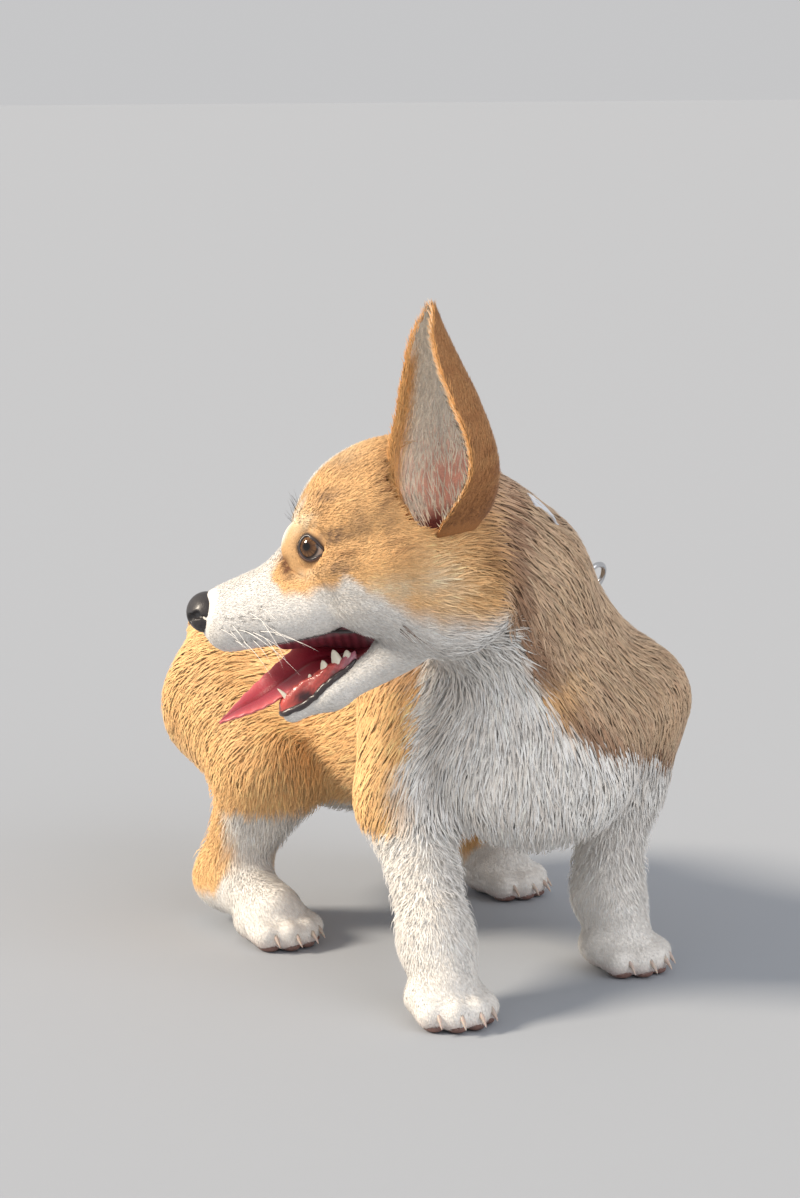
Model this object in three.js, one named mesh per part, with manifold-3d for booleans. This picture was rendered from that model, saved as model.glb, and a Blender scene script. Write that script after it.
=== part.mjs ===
// A Pembroke Welsh corgi puppy as a life-size still model: it stands with its head turned to its
// right and its mouth open. Millimetres, +Z up. The dog faces -Y, and its left side is +X.
// The flesh is one smooth field of blended limbs and balls. It is meshed, thinned and parted by cuts.
import * as THREE from 'three';
import { mergeVertices } from 'three/addons/utils/BufferGeometryUtils.js';
import Module from 'manifold-3d';

const wasm = await Module();
wasm.setup();

// Driving dimensions

const gap = 0.3; // clearance between nodes that touch
const pawLength = 50;
const pawWidth = 46;
const clawLength = 6.5;
const clawRadius = 2.6;
const eyeRadius = 8.6;
const earWall = 3.2;
const collarWidth = 9;
const collarThickness = 2.4;
const collarDepth = 1; // into the core of the coat
const ringRadius = 7.5;
const ringWire = 1.4;

// Places of the joints and masses of the body

const places = {
  chestFront: [12, -62, 126],
  midBack: [8, 14, 117],
  loin: [-8, 76, 115],
  rump: [-28, 128, 121],
  tailRoot: [-36, 164, 142],
  tailTip: [-24, 190, 139],
  breast: [-2, -94, 114],
  withers: [20, -40, 158],
  neckBase: [14, -68, 148],
  neckTop: [-20, -94, 204],
  nape: [-34, -100, 226],
};

// A heading is in degrees from +X, seen from above
const forelegs = {
  right: {
    shoulder: [-32, -34, 144],
    elbow: [-50, -56, 92],
    wrist: [-64, -106, 36],
    paw: [-69, -124],
    heading: 268,
  },
  left: {
    shoulder: [60, -84, 136],
    elbow: [64, -66, 92],
    wrist: [56, -74, 36],
    paw: [54, -90],
    heading: 284,
  },
};

const hindlegs = {
  right: {
    hip: [-58, 112, 112],
    knee: [-65, 62, 86],
    hock: [-76, 90, 25],
    paw: [-75, 40],
    heading: 282,
  },
  left: {
    hip: [14, 132, 112],
    knee: [54, 96, 84],
    hock: [74, 114, 40],
    paw: [80, 66],
    heading: 292,
  },
};

// The head's own frame: x along the muzzle, y to the dog's left, z up through the crown

const headPlace = [-72, -85, 217];
const headHeading = 150;
const headRoll = 6; // left side up
const headPitch = 12; // nose down

// Vectors and fields. A field is a function of x, y, z: the distance to a surface, negative inside.

const { hypot, sqrt, sign, abs, min, max, cos, sin, PI } = Math;
const radians = (degrees) => (degrees * PI) / 180;
const add = (a, b) => [a[0] + b[0], a[1] + b[1], a[2] + b[2]];
const sub = (a, b) => [a[0] - b[0], a[1] - b[1], a[2] - b[2]];
const times = (a, k) => [a[0] * k, a[1] * k, a[2] * k];
const dot = (a, b) => a[0] * b[0] + a[1] * b[1] + a[2] * b[2];
const cross = (a, b) => [
  a[1] * b[2] - a[2] * b[1],
  a[2] * b[0] - a[0] * b[2],
  a[0] * b[1] - a[1] * b[0],
];
const unit = (a) => times(a, 1 / hypot(...a));
const mix = (a, b, t) => add(times(a, 1 - t), times(b, t));

// A limb: the round cone between two balls of radius ra and rb
function limb(a, b, ra, rb) {
  const along = sub(b, a);
  const length2 = dot(along, along);
  const taper = ra - rb;
  const slant = length2 - taper * taper;
  const inverse = 1 / length2;
  return (x, y, z) => {
    const p = [x - a[0], y - a[1], z - a[2]];
    const near = dot(p, along);
    const far = near - length2;
    const q = sub(times(p, length2), times(along, near));
    const across2 = dot(q, q);
    const near2 = near * near * length2;
    const far2 = far * far * length2;
    const k = sign(taper) * taper * taper * across2;
    if (sign(far) * slant * far2 > k) return sqrt(across2 + far2) * inverse - rb;
    if (sign(near) * slant * near2 < k) return sqrt(across2 + near2) * inverse - ra;
    return (sqrt(across2 * slant * inverse) + near * taper) * inverse - ra;
  };
}

// A ball with three radii, turned about z by a heading and then tipped nose down, both in degrees
function ball(centre, radii, heading = 0, pitch = 0) {
  const [c, s] = [cos(radians(heading)), sin(radians(heading))];
  const [cp, sp] = [cos(radians(pitch)), sin(radians(pitch))];
  return (x, y, z) => {
    const dx = x - centre[0];
    const dy = y - centre[1];
    const dz = z - centre[2];
    const flat = dx * c + dy * s;
    const u = (flat * cp - dz * sp) / radii[0];
    const v = (dy * c - dx * s) / radii[1];
    const w = (flat * sp + dz * cp) / radii[2];
    const k0 = sqrt(u * u + v * v + w * w);
    const k1 = hypot(u / radii[0], v / radii[1], w / radii[2]);
    return k1 > 0 ? (k0 * (k0 - 1)) / k1 : -min(...radii);
  };
}

// Joins fields with a fillet of about the given size
function blend(size, ...fields) {
  return (x, y, z) => {
    let value = fields[0](x, y, z);
    for (let i = 1; i < fields.length; i++) {
      const other = fields[i](x, y, z);
      const h = max(size - abs(value - other), 0) / size;
      value = min(value, other) - (h * h * size) / 4;
    }
    return value;
  };
}

// Takes one field out of another with a rounded edge
function carve(size, solid, hole) {
  return (x, y, z) => {
    const a = solid(x, y, z);
    const b = -hole(x, y, z);
    const h = max(size - abs(a - b), 0) / size;
    return max(a, b) + (h * h * size) / 4;
  };
}

const mirrored = (field) => (x, y, z) => field(x, abs(y), z);

const slope = (field, x, y, z, e = 0.05) => [
  (field(x + e, y, z) - field(x - e, y, z)) / (2 * e),
  (field(x, y + e, z) - field(x, y - e, z)) / (2 * e),
  (field(x, y, z + e) - field(x, y, z - e)) / (2 * e),
];

// Moves a point along the field's slope until it lies on the surface
function settle(field, point, steps = 3) {
  let [x, y, z] = point;
  for (let i = 0; i < steps; i++) {
    const g = slope(field, x, y, z);
    const k = field(x, y, z) / max(dot(g, g), 0.05);
    const step = min(1, 2.5 / max(abs(k) * hypot(...g), 1e-9));
    x -= g[0] * k * step;
    y -= g[1] * k * step;
    z -= g[2] * k * step;
  }
  return [x, y, z];
}

// Meshes the surface of a field inside a box: one point in each cell that the surface crosses,
// and a quad round each grid edge that it crosses
function meshOf(field, low, high, cell) {
  const count = [0, 1, 2].map((i) => Math.ceil((high[i] - low[i]) / cell) + 1);
  const [nx, ny, nz] = count;
  const at = (i, j, k) => (k * ny + j) * nx + i;
  const values = new Float64Array(nx * ny * nz);
  for (let k = 0; k < nz; k++)
    for (let j = 0; j < ny; j++)
      for (let i = 0; i < nx; i++) {
        const edge = i === 0 || j === 0 || k === 0 || i === nx - 1 || j === ny - 1 || k === nz - 1;
        const v = field(low[0] + i * cell, low[1] + j * cell, low[2] + k * cell);
        values[at(i, j, k)] = edge ? max(v, 0.2 * cell) : v || 1e-6;
      }
  partFaces(values, count, at);
  const points = [];
  const pointOf = new Int32Array(nx * ny * nz).fill(-1);
  const steps = [1, nx, nx * ny];
  for (let k = 0; k < nz - 1; k++)
    for (let j = 0; j < ny - 1; j++)
      for (let i = 0; i < nx - 1; i++) {
        const sum = [0, 0, 0];
        let hits = 0;
        for (let edge = 0; edge < 12; edge++) {
          const axis = edge >> 2;
          const start = [0, 0, 0];
          start[(axis + 1) % 3] = edge & 1;
          start[(axis + 2) % 3] = (edge >> 1) & 1;
          const from = at(i + start[0], j + start[1], k + start[2]);
          const a = values[from];
          const b = values[from + steps[axis]];
          if (a < 0 === b < 0) continue;
          start[axis] = a / (a - b);
          for (let m = 0; m < 3; m++) sum[m] += start[m];
          hits++;
        }
        if (!hits) continue;
        pointOf[at(i, j, k)] = points.length;
        points.push([i, j, k].map((n, m) => low[m] + (n + sum[m] / hits) * cell));
      }
  const faces = [];
  for (let k = 0; k < nz - 1; k++)
    for (let j = 0; j < ny - 1; j++)
      for (let i = 0; i < nx - 1; i++)
        for (let axis = 0; axis < 3; axis++) {
          const here = at(i, j, k);
          const inside = values[here] < 0;
          if (inside === values[here + steps[axis]] < 0) continue;
          const s1 = steps[(axis + 1) % 3];
          const s2 = steps[(axis + 2) % 3];
          const quad = [here - s1 - s2, here - s2, here, here - s1].map((n) => pointOf[n]);
          if (!inside) quad.reverse();
          faces.push([quad[0], quad[1], quad[2]], [quad[0], quad[2], quad[3]]);
        }
  return { points: points.map((p) => settle(field, p)), faces };
}

// Flips the weakest corner of a grid face whose signs alternate, so that the surface never touches itself
function partFaces(values, [nx, ny, nz], at) {
  const steps = [1, nx, nx * ny];
  for (let round = 0; round < 3; round++)
    for (let k = 0; k < nz - 1; k++)
      for (let j = 0; j < ny - 1; j++)
        for (let i = 0; i < nx - 1; i++)
          for (let axis = 0; axis < 3; axis++) {
            const a = at(i, j, k);
            const s1 = steps[(axis + 1) % 3];
            const s2 = steps[(axis + 2) % 3];
            const ring = [a, a + s1, a + s1 + s2, a + s2];
            const signs = ring.map((n) => values[n] < 0);
            if (signs[0] !== signs[2] || signs[1] !== signs[3] || signs[0] === signs[1]) continue;
            const weakest = ring.reduce((m, n) => (abs(values[n]) < abs(values[m]) ? n : m));
            values[weakest] *= -1;
          }
}

// Thins a closed mesh to about a number of triangles, cheapest edge first by squared distance to the
// planes round it, and keeps each moved point on the field
function thin({ points, faces }, target, field) {
  const around = points.map(() => new Set());
  faces.forEach((f, n) => f.forEach((v) => around[v].add(n)));
  const normalOf = (f, p = points) => cross(sub(p[f[1]], p[f[0]]), sub(p[f[2]], p[f[0]]));
  const planes = points.map(() => new Float64Array(10));
  for (const f of faces) {
    const n = normalOf(f);
    const size = hypot(...n);
    if (size < 1e-12) continue;
    const [a, b, c] = times(n, 1 / size);
    const d = -dot([a, b, c], points[f[0]]);
    const q = [a * a, a * b, a * c, a * d, b * b, b * c, b * d, c * c, c * d, d * d];
    for (const v of f) q.forEach((m, i) => (planes[v][i] += m * size));
  }
  const costAt = (q, [x, y, z]) =>
    q[0] * x * x + 2 * q[1] * x * y + 2 * q[2] * x * z + 2 * q[3] * x + q[4] * y * y +
    2 * q[5] * y * z + 2 * q[6] * y + q[7] * z * z + 2 * q[8] * z + q[9];
  const stamp = new Int32Array(points.length);
  const heap = [];
  const push = (a, b) => {
    const q = planes[a].map((m, i) => m + planes[b][i]);
    const middle = mix(points[a], points[b], 0.5);
    const long = hypot(...sub(points[a], points[b]));
    const cost = max(costAt(q, middle), 0) + 1e-3 * long ** 4;
    const item = { cost, a, b, sa: stamp[a], sb: stamp[b] };
    let i = heap.push(item) - 1;
    while (i > 0 && heap[(i - 1) >> 1].cost > item.cost) {
      heap[i] = heap[(i - 1) >> 1];
      i = (i - 1) >> 1;
    }
    heap[i] = item;
  };
  const pop = () => {
    const top = heap[0];
    const last = heap.pop();
    if (!heap.length) return top;
    let i = 0;
    for (;;) {
      let child = 2 * i + 1;
      if (child >= heap.length) break;
      if (child + 1 < heap.length && heap[child + 1].cost < heap[child].cost) child++;
      if (heap[child].cost >= last.cost) break;
      heap[i] = heap[child];
      i = child;
    }
    heap[i] = last;
    return top;
  };
  const neighbours = (v) => {
    const found = new Set();
    for (const n of around[v]) for (const w of faces[n]) if (w !== v) found.add(w);
    return found;
  };
  for (const f of faces) for (let i = 0; i < 3; i++) if (f[i] < f[(i + 1) % 3]) push(f[i], f[(i + 1) % 3]);
  let left = faces.length;
  const alive = new Uint8Array(faces.length).fill(1);
  while (left > target && heap.length) {
    const { a, b, sa, sb } = pop();
    if (stamp[a] !== sa || stamp[b] !== sb) continue;
    const ringA = neighbours(a);
    const ringB = neighbours(b);
    let shared = 0;
    for (const v of ringA) if (ringB.has(v)) shared++;
    if (shared !== 2) continue;
    const place = settle(field, mix(points[a], points[b], 0.5), 2);
    const sound = [a, b].every((v) =>
      [...around[v]].every((n) => {
        const f = faces[n];
        if (f.includes(a) && f.includes(b)) return true;
        const before = normalOf(f);
        const moved = f.map((w) => (w === v ? place : points[w]));
        const after = cross(sub(moved[1], moved[0]), sub(moved[2], moved[0]));
        return dot(before, after) > 0.35 * hypot(...before) * hypot(...after);
      }),
    );
    if (!sound) continue;
    points[a] = place;
    for (const n of around[b]) {
      const f = faces[n];
      if (f.includes(a)) {
        alive[n] = 0;
        left--;
        f.forEach((v) => v !== b && around[v].delete(n));
        continue;
      }
      f[f.indexOf(b)] = a;
      around[a].add(n);
    }
    around[b].clear();
    planes[a] = planes[a].map((m, i) => m + planes[b][i]);
    stamp[b] = -1;
    const touched = neighbours(a);
    stamp[a]++;
    for (const v of touched) push(a, v);
  }
  return { points, faces: faces.filter((_, n) => alive[n]) };
}

// Solids

function solidFrom({ points, faces }) {
  const used = [...new Set(faces.flat())];
  const place = new Map(used.map((v, n) => [v, n]));
  return new wasm.Manifold(
    new wasm.Mesh({
      numProp: 3,
      vertProperties: new Float32Array(used.flatMap((v) => points[v])),
      triVerts: new Uint32Array(faces.flatMap((f) => f.map((v) => place.get(v)))),
    }),
  );
}

// A three.js geometry as a solid, with its shared vertices merged
function solidOf(geometry, matrix) {
  const bare = geometry.index ? geometry.toNonIndexed() : geometry.clone();
  bare.deleteAttribute('normal');
  bare.deleteAttribute('uv');
  if (matrix) bare.applyMatrix4(matrix);
  const merged = mergeVertices(bare, 1e-4);
  return new wasm.Manifold(
    new wasm.Mesh({
      numProp: 3,
      vertProperties: merged.attributes.position.array,
      triVerts: new Uint32Array(merged.index.array),
    }),
  );
}

// The largest closed surface of a solid
function largest(solid) {
  const parts = solid.decompose();
  return parts.reduce((a, b) => (b.volume() > a.volume() ? b : a));
}

function geometryOf(solid) {
  const { vertProperties, triVerts, numProp } = largest(solid).getMesh();
  const geometry = new THREE.BufferGeometry();
  const position = new Float32Array((vertProperties.length / numProp) * 3);
  for (let i = 0; i < position.length / 3; i++)
    for (let m = 0; m < 3; m++) position[3 * i + m] = vertProperties[numProp * i + m];
  geometry.setAttribute('position', new THREE.BufferAttribute(position, 3));
  geometry.setIndex([...triVerts]);
  geometry.computeVertexNormals();
  return geometry;
}

// A closed solid through rings of points, the last ring towards which each ring's points run anticlockwise
function loft(rings) {
  const count = rings[0].length;
  const points = rings.flat();
  const last = rings.length - 1;
  const faces = [];
  for (let j = 0; j < last; j++)
    for (let i = 0; i < count; i++) {
      const next = (i + 1) % count;
      const quad = [j * count + i, j * count + next, (j + 1) * count + next, (j + 1) * count + i];
      faces.push([quad[0], quad[1], quad[2]], [quad[0], quad[2], quad[3]]);
    }
  // The end rings are closed by a strip from one half to the other
  for (let i = 0; i < count / 2 - 1; i++) {
    const ladder = [i, count - 1 - i, count - 2 - i, i + 1];
    for (const [base, order] of [[0, [0, 1, 2, 3]], [last * count, [3, 2, 1, 0]]]) {
      const quad = order.map((n) => base + ladder[n]);
      faces.push([quad[0], quad[1], quad[2]]);
      if (quad[2] !== quad[3]) faces.push([quad[0], quad[2], quad[3]]);
    }
  }
  const solid = solidFrom({ points, faces });
  return solid.volume() > 0 ? solid : solidFrom({ points, faces: faces.map((f) => [...f].reverse()) });
}

// A closed solid through rings of points that run round and meet their start
function loftRound(rings) {
  const count = rings[0].length;
  const total = rings.length;
  const points = rings.flat();
  const faces = [];
  for (let j = 0; j < total; j++)
    for (let i = 0; i < count; i++) {
      const [next, beyond] = [(i + 1) % count, (j + 1) % total];
      const quad = [j * count + i, j * count + next, beyond * count + next, beyond * count + i];
      faces.push([quad[0], quad[1], quad[2]], [quad[0], quad[2], quad[3]]);
    }
  const solid = solidFrom({ points, faces });
  return solid.volume() > 0 ? solid : solidFrom({ points, faces: faces.map((f) => [...f].reverse()) });
}

// Levels with numbers blended smoothly between the given ones
function levelsBetween(levels, count) {
  const curveOf = (key) => new THREE.CatmullRomCurve3(levels.map((l, i) => new THREE.Vector3(l[key], i, 0)));
  const keys = Object.keys(levels[0]);
  const curves = keys.map(curveOf);
  return Array.from({ length: count }, (_, i) =>
    Object.fromEntries(keys.map((key, k) => [key, curves[k].getPoint(i / (count - 1)).x])),
  );
}

const frameAt = (origin, x, y, z) =>
  new THREE.Matrix4().makeBasis(new THREE.Vector3(...x), new THREE.Vector3(...y), new THREE.Vector3(...z))
    .setPosition(...origin);

// A big block on the far side of a plane, for cuts
function halfSpace(point, normal, reach = 500) {
  const z = unit(normal);
  const x = unit(cross(abs(z[2]) > 0.9 ? [1, 0, 0] : [0, 0, 1], z));
  const block = new THREE.BoxGeometry(reach, reach, reach).translate(0, 0, reach / 2);
  return solidOf(block, frameAt(point, x, cross(z, x), z));
}

// A turned ball as a cutter, which reaches a radius past both ends of its axis from a to b
function cutterBall(a, b, [rx, ry], extra = 0) {
  const z = unit(sub(b, a));
  const x = unit(cross([0, 1, 0], z));
  const rz = hypot(...sub(b, a)) / 2 + max(rx, ry);
  const shape = new THREE.SphereGeometry(1, 14, 10).scale(rx + extra, ry + extra, rz + extra);
  return solidOf(shape, frameAt(mix(a, b, 0.5), x, cross(z, x), z));
}

// Both sides of a cut, each half a gap away from the plane: the side behind it and the side beyond
function splitAt(solid, point, normal) {
  const n = unit(normal);
  const beyond = halfSpace(add(point, times(n, gap / 2)), n);
  const behind = halfSpace(sub(point, times(n, gap / 2)), times(n, -1));
  return [solid.intersect(behind), solid.intersect(beyond)];
}

// The head's frame, and points and ways seen from it
const headMatrix = new THREE.Matrix4()
  .makeRotationFromEuler(
    new THREE.Euler(radians(headRoll), radians(headPitch), radians(headHeading), 'ZYX'),
  )
  .setPosition(...headPlace);
const headBack = headMatrix.clone().invert();
const toWorld = (p) => new THREE.Vector3(...p).applyMatrix4(headMatrix).toArray();
const toHead = (p) => new THREE.Vector3(...p).applyMatrix4(headBack).toArray();
const wayToWorld = (p) => new THREE.Vector3(...p).transformDirection(headMatrix).toArray();

// A field of a turned frame as a field of the body's frame
function seenFrom(matrix, field) {
  const e = matrix.clone().invert().elements;
  return (x, y, z) =>
    field(
      e[0] * x + e[4] * y + e[8] * z + e[12],
      e[1] * x + e[5] * y + e[9] * z + e[13],
      e[2] * x + e[6] * y + e[10] * z + e[14],
    );
}

// Neck, in the body's frame or the head's

const neckFields = (from = (p) => p) => [
  limb(from(places.neckBase), from(places.neckTop), 54, 39),
  limb(from(places.neckTop), from(places.nape), 39, 31),
];

// Head, in its own frame

const cheekSide = 22;
const headShape = mirrored(
  blend(
    10,
    ball([-3, 0, 21], [51, 44, 40]),
    ball([4, cheekSide, -10], [34, 22, 27]),
    ball([-18, cheekSide, -22], [32, 22, 29]),
    limb([42, 0, -4], [86, 0, -7.5], 21, 14.5),
    limb([46, 12, -14], [85, 6.5, -15.5], 14.5, 11),
    ball([45, 0, 8], [15, 12, 13]),
    limb([30, 24, 2], [-5, 34, 2], 11, 14),
    ball([36, 15, 26], [11, 9, 8]),
    limb([10, 0, -41], [44, 0, -55], 12, 6.2),
    limb([6, 14, -41], [44, 9, -55], 11, 6),
    limb([44, 7, -55], [65, 4, -60], 6.2, 6),
  ),
);
const mouthCorner = [22, 0, -33];
// The open mouth: above the lower lip, below the upper lip and in front of the corner
function mouthGap(x, y, z) {
  const upper = min(mouthCorner[2] + 0.42 * (x - mouthCorner[0]), -26.5);
  const lower = max(mouthCorner[2] - 0.86 * (x - mouthCorner[0]), -52 - 0.14 * (x - 44));
  return max(z - upper, lower - z, mouthCorner[0] - x);
}
const throatHole = limb([24, 0, -38], [0, 0, -33], 11, 6);
const eyePlace = [37, 19.5, 14.5];
const eyeOut = unit([0.5, 0.85, 0.1]);
const lidField = mirrored(ball(eyePlace, [eyeRadius + 2, eyeRadius + 2, eyeRadius + 2]));
const eyeSlit = mirrored(ball(add(eyePlace, times(eyeOut, eyeRadius + 1)), [6.4, 5, 4.4], 60, 0));
const headWhole = () => blend(14, headShape, ...neckFields(toHead));
const closedHead = blend(5, headWhole(), lidField);
const headField = carve(1, carve(3, carve(2, closedHead, mouthGap), throatHole), eyeSlit);

const noseField = mirrored(
  carve(
    1.5,
    blend(3, ball([95, 0, -5.5], [10, 9.5, 10]), ball([94, 6.5, -7], [8, 6, 8])),
    limb([102, 5.5, -6.5], [98, 11.5, -5], 2.3, 1.5),
  ),
);

// A paw, in its own frame: x towards the claws, sole at z = 0, middle of its length at x = 0

const toeSpread = pawWidth / 2 - 9;
const toes = [-1, -0.36, 0.36, 1].map((side) => ({
  side,
  reach: (pawLength / 2 - 9) * (abs(side) > 0.5 ? 0.62 : 1),
  across: toeSpread * side,
}));
function pawField(low, middle, lowRadius, middleRadius) {
  const knuckles = toes.map(({ reach, across, side }) =>
    limb([reach - 14, across * 0.75, 12], [reach + 1, across, 8], 10, 9 - 0.4 * abs(side)),
  );
  return blend(
    4,
    ...knuckles,
    ball([-8, 0, 11], [17, 18, 13]),
    blend(14, limb(low, middle, lowRadius, middleRadius), limb(low, [0, 0, 16], lowRadius, 16)),
  );
}

// Body

const wristRadius = 18;
const hockRadius = 17;
const frontFields = (leg) => [
  limb(leg.shoulder, leg.elbow, 32, 26),
  limb(leg.elbow, leg.wrist, 24, wristRadius),
  limb(leg.wrist, [leg.paw[0], leg.paw[1], 16], wristRadius, 16),
];
const hindFields = (leg) => [
  limb(leg.hip, leg.knee, 42, 29),
  limb(leg.knee, leg.hock, 28, hockRadius),
  limb(leg.hock, [leg.paw[0], leg.paw[1], 16], hockRadius, 16),
];

const torsoField = blend(
  16,
  limb(places.chestFront, places.midBack, 60, 57),
  limb(places.midBack, places.loin, 57, 56),
  limb(places.loin, places.rump, 56, 52),
  ball(places.tailRoot, [22, 24, 22]),
  limb(places.tailRoot, places.tailTip, 17, 11),
  ball(places.breast, [34, 52, 48], 65),
  ball(places.withers, [34, 42, 34], 65),
);
const bodyField = blend(
  14,
  blend(16, torsoField, ...neckFields()),
  seenFrom(headMatrix, headShape),
  ...frontFields(forelegs.right),
  ...frontFields(forelegs.left),
  ...hindFields(hindlegs.right),
  ...hindFields(hindlegs.left),
);

// A curved claw at the front of a toe
function clawShape({ reach, across, side }) {
  const rings = [-0.6, 0.2, 0.65, 0.97].map((t) => {
    const size = clawRadius * (t < 0 ? 1 : sqrt(1.02 - t));
    return Array.from({ length: 6 }, (_, i) => {
      const turn = (2 * PI * i) / 6;
      return [
        reach + 8.5 + clawLength * t,
        across + side * t + 0.8 * size * cos(turn),
        9 - 5 * max(t, 0) ** 1.7 + size * sin(turn),
      ];
    });
  });
  return loft(rings);
}

// Long coat: locks in tiers over a core that lies below the coat's surface where they grow

const lockRise = 5.5; // from the core to the coat's surface
const lockSink = 2.5; // of the root, below the core
const lockThickness = 3.2;
const lockSteps = 4;
const fade = 26;
const longCoat = [
  limb([2, -84, 112], places.neckTop, 60, 52),
  limb([-72, 128, 112], [-82, 116, 76], 30, 22),
  limb([44, 150, 112], [70, 136, 76], 30, 22),
  ball([-34, 176, 128], [34, 24, 30]),
];
const shareOf = (distance) => min(max(0.5 - distance / fade, 0), 1);
const coreField = (x, y, z) => {
  const share = max(...longCoat.map((field) => shareOf(field(x, y, z))));
  return bodyField(x, y, z) + lockRise * share;
};

let seed = 7;
const random = () => {
  seed = (seed * 16807) % 2147483647;
  return seed / 2147483647;
};
const vary = (share) => 1 + share * (2 * random() - 1);

// The point where a way out from a point first leaves a field, or the farthest one that is allowed
function edgeOf(field, from, way, farthest) {
  const inside = (reach) => field(...add(from, times(way, reach))) < 0;
  let reach = 10;
  for (let step = 4; step > 0.01; step /= 2) while (reach < farthest && inside(reach + step)) reach += step;
  return add(from, times(way, reach));
}

// A flat lock that starts at a point of the core and follows the coat along a way, bending as it lies
function lockShape(start, wayAt, length, width) {
  const rings = [];
  let place = start;
  const curl = 0.35 * (2 * random() - 1);
  for (let i = 0; i <= lockSteps; i++) {
    const t = i / lockSteps;
    const out = unit(slope(bodyField, ...place, 1));
    const along = wayAt(place, t);
    const flat = unit(sub(along, times(out, dot(along, out))));
    const aside = cross(out, flat);
    const level = t ? lockRise * (0.9 * t ** 0.7 - 1) : -lockRise - lockSink;
    const depth = bodyField(...place);
    const middle = add(place, times(out, level - depth));
    const half = (width / 2) * max((1 - t ** 2.2) * (0.6 + 0.95 * t), 0.05);
    const thick = (lockThickness / 2) * (1 - 0.72 * t);
    const swing = times(aside, curl * width * t * t);
    const corners = [[half, -thick], [0, thick], [-half, -thick]];
    rings.push(corners.map(([a, b]) => add(add(middle, swing), add(times(aside, a), times(out, b)))));
    place = add(place, times(flat, length / lockSteps));
  }
  return loft(rings);
}

// Tiers: from a middle, ways out that turn about an axis from one angle to another
const tierWays = (axis, zero, from, to, count, shift) => {
  const z = unit(axis);
  const x = unit(sub(zero, times(z, dot(zero, z))));
  const y = cross(z, x);
  return Array.from({ length: count }, (_, i) => {
    const turn = radians(from + ((to - from) * (i + 0.5 + shift + 0.3 * (random() - 0.5))) / count);
    return add(times(x, cos(turn)), times(y, sin(turn)));
  });
};
const neckAxis = sub(places.neckTop, places.neckBase);
const downNeck = times(unit(neckAxis), -1);
const lockTiers = [
  ...[0.86, 0.42, -0.02].map((t, n) => ({
    middle: mix(places.neckBase, places.neckTop, t),
    ways: tierWays(neckAxis, [0, -1, 0], -150, 160, 8 + n, n % 2 ? 0.25 : -0.25),
    flow: () => add(times(downNeck, 0.9), [0, 0.25, -0.35]),
    length: 52,
    width: 24,
  })),
  ...[0.1, -0.38].map((lift, n) => ({
    middle: [6, -66, 122],
    ways: tierWays([0, 0, 1], [0, -1, 0], -56, 42, 4, n ? 0.2 : -0.2).map((way) => add(way, [0, 0, lift])),
    flow: () => [0, 0.1, -1],
    length: 42,
    width: 22,
  })),
  ...Object.values(hindlegs).flatMap((leg, side) =>
    [0.1, 0.6].map((t, n) => ({
      middle: mix(add(leg.hip, [0, 8, 0]), leg.knee, t),
      ways: tierWays([0, 0, 1], [side ? 0.35 : -0.35, 1, 0], -50, 50, 4 - n, 0),
      flow: () => [0, 0.25, -1],
      length: 42,
      width: 20,
    })),
  ),
];
// A way that doesn't leave the coat within reach, as towards the head, grows no lock
const locks = lockTiers.flatMap(({ middle, ways, flow, length, width }) => {
  const starts = ways.map((way) => edgeOf(bodyField, middle, unit(way), 90));
  return starts
    .filter((start) => bodyField(...start) > -1)
    .map((start) => lockShape(start, flow, length * vary(0.18), width * vary(0.15)));
});

// Nodes

const group = new THREE.Group();
const finishes = {
  tan: { color: '#c98f55', roughness: 0.85, metalness: 0 },
  cream: { color: '#e9ddca', roughness: 0.85, metalness: 0 },
  eye: { color: '#3a2416', roughness: 0.08, metalness: 0 },
  nose: { color: '#1b1718', roughness: 0.4, metalness: 0 },
  tongue: { color: '#b5384a', roughness: 0.35, metalness: 0 },
  strap: { color: '#e6e8ea', roughness: 0.6, metalness: 0 },
  ring: { color: '#b9bcc0', roughness: 0.25, metalness: 1 },
};

function addNode(name, solid, finish, parent = group) {
  const mesh = new THREE.Mesh(geometryOf(solid), new THREE.MeshStandardMaterial(finishes[finish]));
  mesh.name = name;
  parent.add(mesh);
  return mesh;
}

// The neck meets the head at a plane behind the ears, and the torso at a plane above the shoulders
const headCutPlace = [-33, 0, 0];
const headCutWay = [0.82, 0, 0.57];
const headCut = { point: toWorld(headCutPlace), normal: wayToWorld(headCutWay) };
const neckCut = { point: mix(places.neckBase, places.neckTop, 0.3), normal: neckAxis };

const core = solidFrom(
  thin(meshOf(coreField, [-135, -165, 12], [130, 218, 262], 5.5), 2300, coreField),
);
const body = locks.reduce((whole, lock) => whole.add(lock), core);
let [trunk, neck] = splitAt(body, neckCut.point, neckCut.normal);
neck = splitAt(neck, headCut.point, headCut.normal)[0];

// Parts a leg from the trunk with a ball-shaped cut, splits it at its middle joint and ends it at its paw
const pawTop = 30;
function makeLeg(name, leg, [top, middle, low], [topRadius, lowRadius], cut, [upperName, lowerName]) {
  const up = unit(sub(top, middle));
  const foot = [(low[0] + leg.paw[0]) / 2, (low[1] + leg.paw[1]) / 2, 12];
  const regions = [0, gap].map((extra) => {
    const [high, elbow] = [add(top, times(up, 14)), sub(middle, times(up, 20))];
    const above = cutterBall(high, elbow, [topRadius, topRadius], extra);
    return above.add(cutterBall(add(middle, [0, 0, 6]), foot, [lowRadius, lowRadius], extra));
  });
  const whole = trunk.intersect(regions[0]);
  trunk = trunk.subtract(regions[1]);
  const [upper, lower] = splitAt(whole, cut.point, cut.normal);
  addNode(`${name}_${upperName}`, upper, 'tan');
  addNode(`${name}_${lowerName}`, splitAt(lower, [0, 0, pawTop], [0, 0, 1])[1], 'cream');
}
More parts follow.
